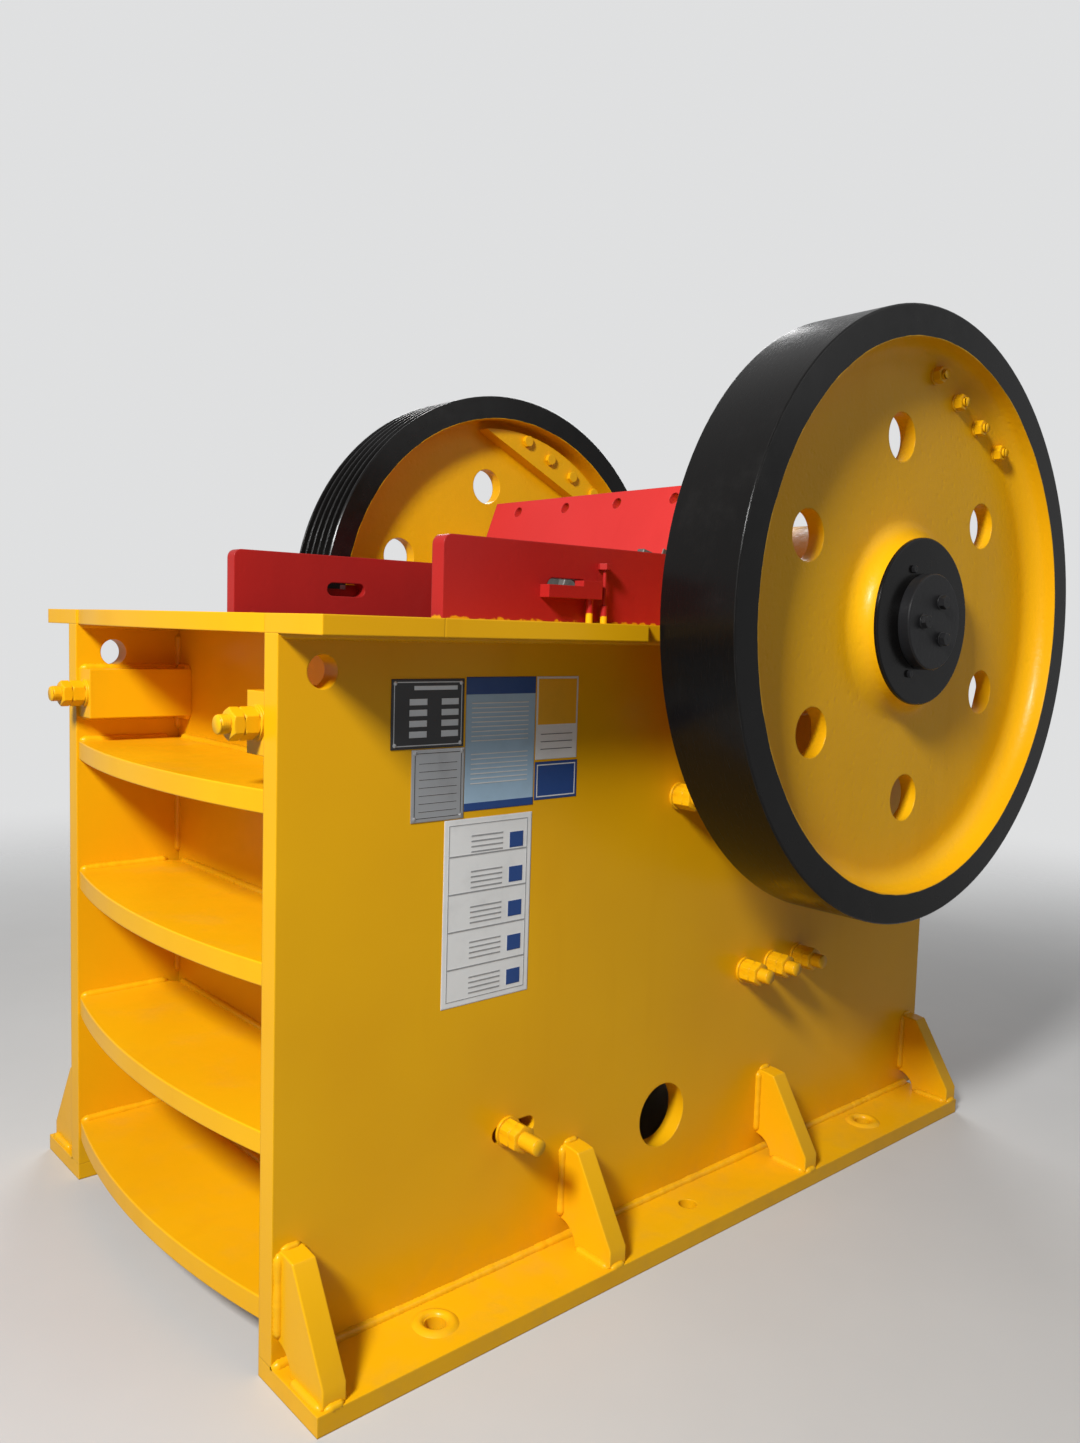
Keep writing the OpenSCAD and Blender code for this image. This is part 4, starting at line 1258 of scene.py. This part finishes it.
@dataclass(frozen=True)
class Plate:
    """One blank plate or sticker on the near side plate."""

    ink: Ink
    low_x: float
    high_x: float
    low_z: float
    high_z: float
    thick: float = 0.0006
    sunk: float = 0.0002
    line: float = 0.008

    def band(self, soup: Soup, ink: Ink, area: Area, lift: float = 0.0002) -> None:
        """Adds a flat band on the plate.

        Args:
            soup: the mesh.
            ink: its paint.
            area: its low and high share of the width, then of the height.
            lift: how far it stands out of the plate.
        """
        wide, tall = self.high_x - self.low_x, self.high_z - self.low_z
        face = -AT.plate_out - self.thick
        soup.paint = ink.value
        soup.block((AT.x(self.low_x + area[0] * wide), face - lift, self.low_z + area[2] * tall),
                   (AT.x(self.low_x + area[1] * wide), face + self.sunk, self.low_z + area[3] * tall))

    def base(self, soup: Soup) -> None:
        """Adds the plate itself.

        Args:
            soup: the mesh.
        """
        soup.paint = self.ink.value
        soup.block((AT.x(self.low_x), -AT.plate_out - self.thick, self.low_z),
                   (AT.x(self.high_x), -AT.plate_out + 2 * self.sunk, self.high_z))

    def border(self, soup: Soup, ink: Ink, inset: float, width: float) -> None:
        """Adds a thin frame line.

        Args:
            soup: the mesh.
            ink: its paint.
            inset: its distance from the plate's edge, as a share of the height.
            width: its width, as a share of the height.
        """
        shape = (self.high_z - self.low_z) / (self.high_x - self.low_x)
        a, b, wide = inset * shape, inset, width * shape
        low, high = b + width, 1 - b - width
        for area in ((a, 1 - a, b, low), (a, 1 - a, high, 1 - b), (a, a + wide, low, high),
                     (1 - a - wide, 1 - a, low, high)):
            self.band(soup, ink, area)

    def rows(self, soup: Soup, ink: Ink, count: int, area: Area) -> None:
        """Adds thin empty lines.

        Args:
            soup: the mesh.
            ink: their paint.
            count: how many.
            area: the low and high share of the width, then of the height, that they fill.
        """
        for i in range(count):
            level = area[2] + (area[3] - area[2]) * i / max(1, count - 1)
            self.band(soup, ink, (area[0], area[1], level, level + self.line))

    def rivets(self, soup: Soup, ink: Ink, inset: float) -> None:
        """Adds a rivet near each corner.

        Args:
            soup: the mesh.
            ink: their paint.
            inset: distance from the edges, in metres.
        """
        soup.paint = ink.value
        dome = lathe(((0.0042, 0.0), (0.0038, 0.0012), (0.0024, 0.0021), (0.0003, 0.0024)), 16)
        for x in (self.low_x + inset, self.high_x - inset):
            for z in (self.low_z + inset, self.high_z - inset):
                matrix = turn_to((0, -1, 0), (AT.x(x), -AT.plate_out - self.thick, z))
                soup.grid(moved(dome, matrix))


@dataclass
class SidePlates:
    """The blank plates and stickers of the near side. Areas on them are shares of their size."""

    finishes: Finishes
    data: Plate = Plate(Ink.DARK, 0.2445, 0.4223, 1.2053, 1.3447, 0.0016)
    note: Plate = Plate(Ink.GREY, 0.295, 0.4263, 1.0558, 1.2033, 0.0014)
    panel: Plate = Plate(Ink.PALE_BLUE, 0.4283, 0.6168, 1.0686, 1.3477)
    sign: Plate = Plate(Ink.WHITE, 0.6203, 0.7426, 1.1657, 1.3477)
    tag: Plate = Plate(Ink.DARK_BLUE, 0.6203, 0.7456, 1.077, 1.1608)
    sheet: Plate = Plate(Ink.WHITE, 0.3799, 0.6155, 0.6566, 1.0536)
    field_rows: int = 4
    sheet_rows: int = 5

    def build(self) -> None:
        """Builds the six plates."""
        soup = Soup()
        self.metal_plates(soup)
        self.stickers(soup)
        self.row_sheet(soup)
        finishes = self.finishes
        soup.piece("side_plates_and_stickers", Body.FRAME, Slot.FRAME, finishes.dark_plate,
                   finishes.grey_plate, finishes.pale_blue, finishes.dark_blue, finishes.white,
                   finishes.amber, finishes.line)

    def metal_plates(self, soup: Soup) -> None:
        """Adds the dark plate with empty fields and the grey one with empty lines.

        Args:
            soup: the mesh.
        """
        self.data.base(soup)
        self.data.border(soup, Ink.GREY, 0.04, 0.014)
        self.data.band(soup, Ink.GREY, (0.3, 0.9, 0.84, 0.9))
        for row in range(self.field_rows):
            level = 0.16 + 0.155 * row
            for left in (0.24, 0.68):
                self.data.band(soup, Ink.GREY, (left, left + 0.24, level, level + 0.09))
        self.data.rivets(soup, Ink.GREY, 0.0085)
        self.note.base(soup)
        self.note.border(soup, Ink.LINE, 0.05, 0.01)
        self.note.rows(soup, Ink.LINE, 7, (0.14, 0.86, 0.14, 0.8))
        self.note.rivets(soup, Ink.GREY, 0.0075)

    def stickers(self, soup: Soup) -> None:
        """Adds the three stickers beside them.

        Args:
            soup: the mesh.
        """
        self.panel.base(soup)
        self.panel.band(soup, Ink.DARK_BLUE, (0.0, 1.0, 0.87, 1.0))
        self.panel.rows(soup, Ink.WHITE, 9, (0.08, 0.9, 0.52, 0.8))
        self.panel.rows(soup, Ink.WHITE, 7, (0.08, 0.9, 0.2, 0.42))
        self.panel.band(soup, Ink.DARK_BLUE, (0.0, 1.0, 0.0, 0.06))
        self.sign.base(soup)
        self.sign.band(soup, Ink.AMBER, (0.04, 0.96, 0.42, 0.97))
        self.sign.rows(soup, Ink.LINE, 3, (0.12, 0.88, 0.12, 0.3))
        self.tag.base(soup)
        self.tag.border(soup, Ink.WHITE, 0.07, 0.03)

    def row_sheet(self, soup: Soup) -> None:
        """Adds the long sheet of five empty rows.

        Args:
            soup: the mesh.
        """
        self.sheet.base(soup)
        self.sheet.border(soup, Ink.GREY, 0.03, 0.004)
        self.sheet.rows(soup, Ink.GREY, self.sheet_rows - 1, (0.06, 0.94, 0.2, 0.8))
        for row in range(self.sheet_rows):
            level = 0.055 + 0.19 * row
            self.sheet.rows(soup, Ink.GREY, 4, (0.3, 0.66, level, level + 0.085))
            self.sheet.band(soup, Ink.DARK_BLUE, (0.74, 0.9, level, level + 0.085))


def seen_rays(tree: bpy.types.NodeTree) -> bpy.types.NodeSocket:
    """Picks the rays that look at a background: camera, glossy and transmission rays.

    Args:
        tree: the node tree to build in.

    Returns:
        1 for a camera or transmission ray, a share for a glossy ray, 0 for one that only lights.
    """
    path = tree.nodes.new("ShaderNodeLightPath")
    either = path.outputs["Is Camera Ray"]
    for kind, share in (("Is Glossy Ray", 0.5), ("Is Transmission Ray", 1.0)):
        part = tree.nodes.new("ShaderNodeMath")
        part.operation = "MULTIPLY"
        part.inputs[1].default_value = share
        most = tree.nodes.new("ShaderNodeMath")
        most.operation = "MAXIMUM"
        tree.links.new(path.outputs[kind], part.inputs[0])
        tree.links.new(either, most.inputs[0])
        tree.links.new(part.outputs[0], most.inputs[1])
        either = most.outputs[0]
    return either


@dataclass(frozen=True)
class Lamp:
    """A soft square light."""

    name: str
    at: Vec
    to: Vec
    size: float
    power: float

    def hang(self) -> None:
        """Hangs the light and turns it to what it lights."""
        data = bpy.data.lights.new(self.name, "AREA")
        data.size = self.size
        data.energy = self.power
        made = bpy.data.objects.new(self.name, data)
        bpy.context.scene.collection.objects.link(made)
        aim = (Vector(self.to) - Vector(self.at)).to_track_quat("-Z", "Y").to_matrix().to_4x4()
        made.matrix_world = Matrix.Translation(self.at) @ aim


@dataclass
class Studio:
    """The pale floor, the soft lights and the camera at the photo's place."""

    focal_px: float = 1126.70
    long_side_px: float = 1443.0
    yaw: float = 0.8483
    pitch: float = -0.0826
    roll: float = 0.0288
    eye: Vec = (-2.1068, -2.3710, 1.4514)
    lamps: tuple[Lamp, ...] = (
        Lamp("key_light", (-4.9, -2.3, 4.7), (0.0, 0.0, 0.9), 1.0, 520.0),
        Lamp("side_light", (2.6, -4.2, 4.2), (0.2, -0.4, 1.1), 3.0, 24.0),
        Lamp("back_light", (3.6, 4.4, 4.2), (0.2, 0.0, 0.9), 3.0, 180.0))
    floor_r: float = 14.0
    floor_fade: tuple[float, float] = (2.2, 6.5)
    floor_dark: Colour = (0.52, 0.517, 0.51)
    floor_pale: Colour = (0.58, 0.576, 0.568)
    floor_bounce: Colour = (0.27, 0.265, 0.26)
    ambient: Colour = (0.92, 0.95, 1.0)
    ambient_strength: float = 0.13
    backdrop: Colour = (0.74, 0.745, 0.75)

    def build(self) -> None:
        """Builds the studio."""
        self.camera()
        self.floor()
        self.world()
        for lamp in self.lamps:
            lamp.hang()
        bpy.context.scene.view_settings.view_transform = "Standard"
        LOG.info("studio: camera, floor and %d lights", len(self.lamps))

    def camera(self) -> None:
        """Places the camera where the photo's edges say that it stood."""
        reach = math.cos(self.pitch)
        forward = Vector((reach * math.cos(self.yaw), reach * math.sin(self.yaw), math.sin(self.pitch)))
        level = Vector((math.sin(self.yaw), -math.cos(self.yaw), 0.0))
        over = level.cross(forward)
        right = math.cos(self.roll) * level + math.sin(self.roll) * over
        up = right.cross(forward)
        data = bpy.data.cameras.new("photo_camera")
        data.sensor_fit = "AUTO"
        data.sensor_width = 36.0
        data.lens = self.focal_px / self.long_side_px * 36.0
        data.clip_start = 0.05
        made = bpy.data.objects.new("photo_camera", data)
        bpy.context.scene.collection.objects.link(made)
        turn = Matrix((right, up, -forward)).transposed()
        made.matrix_world = Matrix.Translation(self.eye) @ turn.to_4x4()
        bpy.context.scene.camera = made

    def floor(self) -> None:
        """Makes the floor, which fades into the background."""
        bpy.ops.mesh.primitive_circle_add(vertices=96, radius=self.floor_r, fill_type="NGON",
                                          location=(0, 0, -0.0005))
        made = bpy.context.object
        made.name = "floor"
        shader = Shader("floor_finish")
        surface = shader.node("ShaderNodeBsdfPrincipled")
        shade = shader.blend(shader.noise(1.5, 4.0, 0.6), self.floor_dark, self.floor_pale)
        shade = shader.blend(seen_rays(shader.tree), self.floor_bounce, shade)
        shader.put(surface.inputs["Base Color"], shade)
        shader.put(surface.inputs["Roughness"], 0.62)
        clear = shader.node("ShaderNodeBsdfTransparent")
        length = shader.node("ShaderNodeVectorMath", operation="LENGTH")
        shader.put(length.inputs[0], shader.coords)
        mix = shader.node("ShaderNodeMixShader")
        shader.put(mix.inputs[0], shader.span(length.outputs["Value"], *self.floor_fade))
        shader.put(mix.inputs[1], surface.outputs[0])
        shader.put(mix.inputs[2], clear.outputs[0])
        shader.put(shader.output.inputs["Surface"], mix.outputs[0])
        made.data.materials.append(shader.material)

    def world(self) -> None:
        """Sets the pale background and a weaker light from all round."""
        world = bpy.data.worlds.new("studio_world")
        bpy.context.scene.world = world
        world.use_nodes = True
        tree = world.node_tree
        tree.nodes.clear()
        output = tree.nodes.new("ShaderNodeOutputWorld")
        ambient = tree.nodes.new("ShaderNodeBackground")
        ambient.inputs["Color"].default_value = (*self.ambient, 1.0)
        ambient.inputs["Strength"].default_value = self.ambient_strength
        seen = tree.nodes.new("ShaderNodeBackground")
        seen.inputs["Color"].default_value = (*self.backdrop, 1.0)
        seen.inputs["Strength"].default_value = 1.0
        mix = tree.nodes.new("ShaderNodeMixShader")
        tree.links.new(seen_rays(tree), mix.inputs[0])
        tree.links.new(ambient.outputs[0], mix.inputs[1])
        tree.links.new(seen.outputs[0], mix.inputs[2])
        tree.links.new(mix.outputs[0], output.inputs["Surface"])


def main() -> None:
    """Builds the sub-assemblies in order."""
    Studio().build()
    finishes = Finishes()
    Dressing(finishes).dress()
    WeldedFrame(finishes).build()
    BearingCovers(finishes).build()
    SmallBolts(finishes).build()
    SpringCoil(finishes).build()
    AnchorRings(finishes).build()
    SidePlates(finishes).build()


if __name__ == "__main__":
    main()
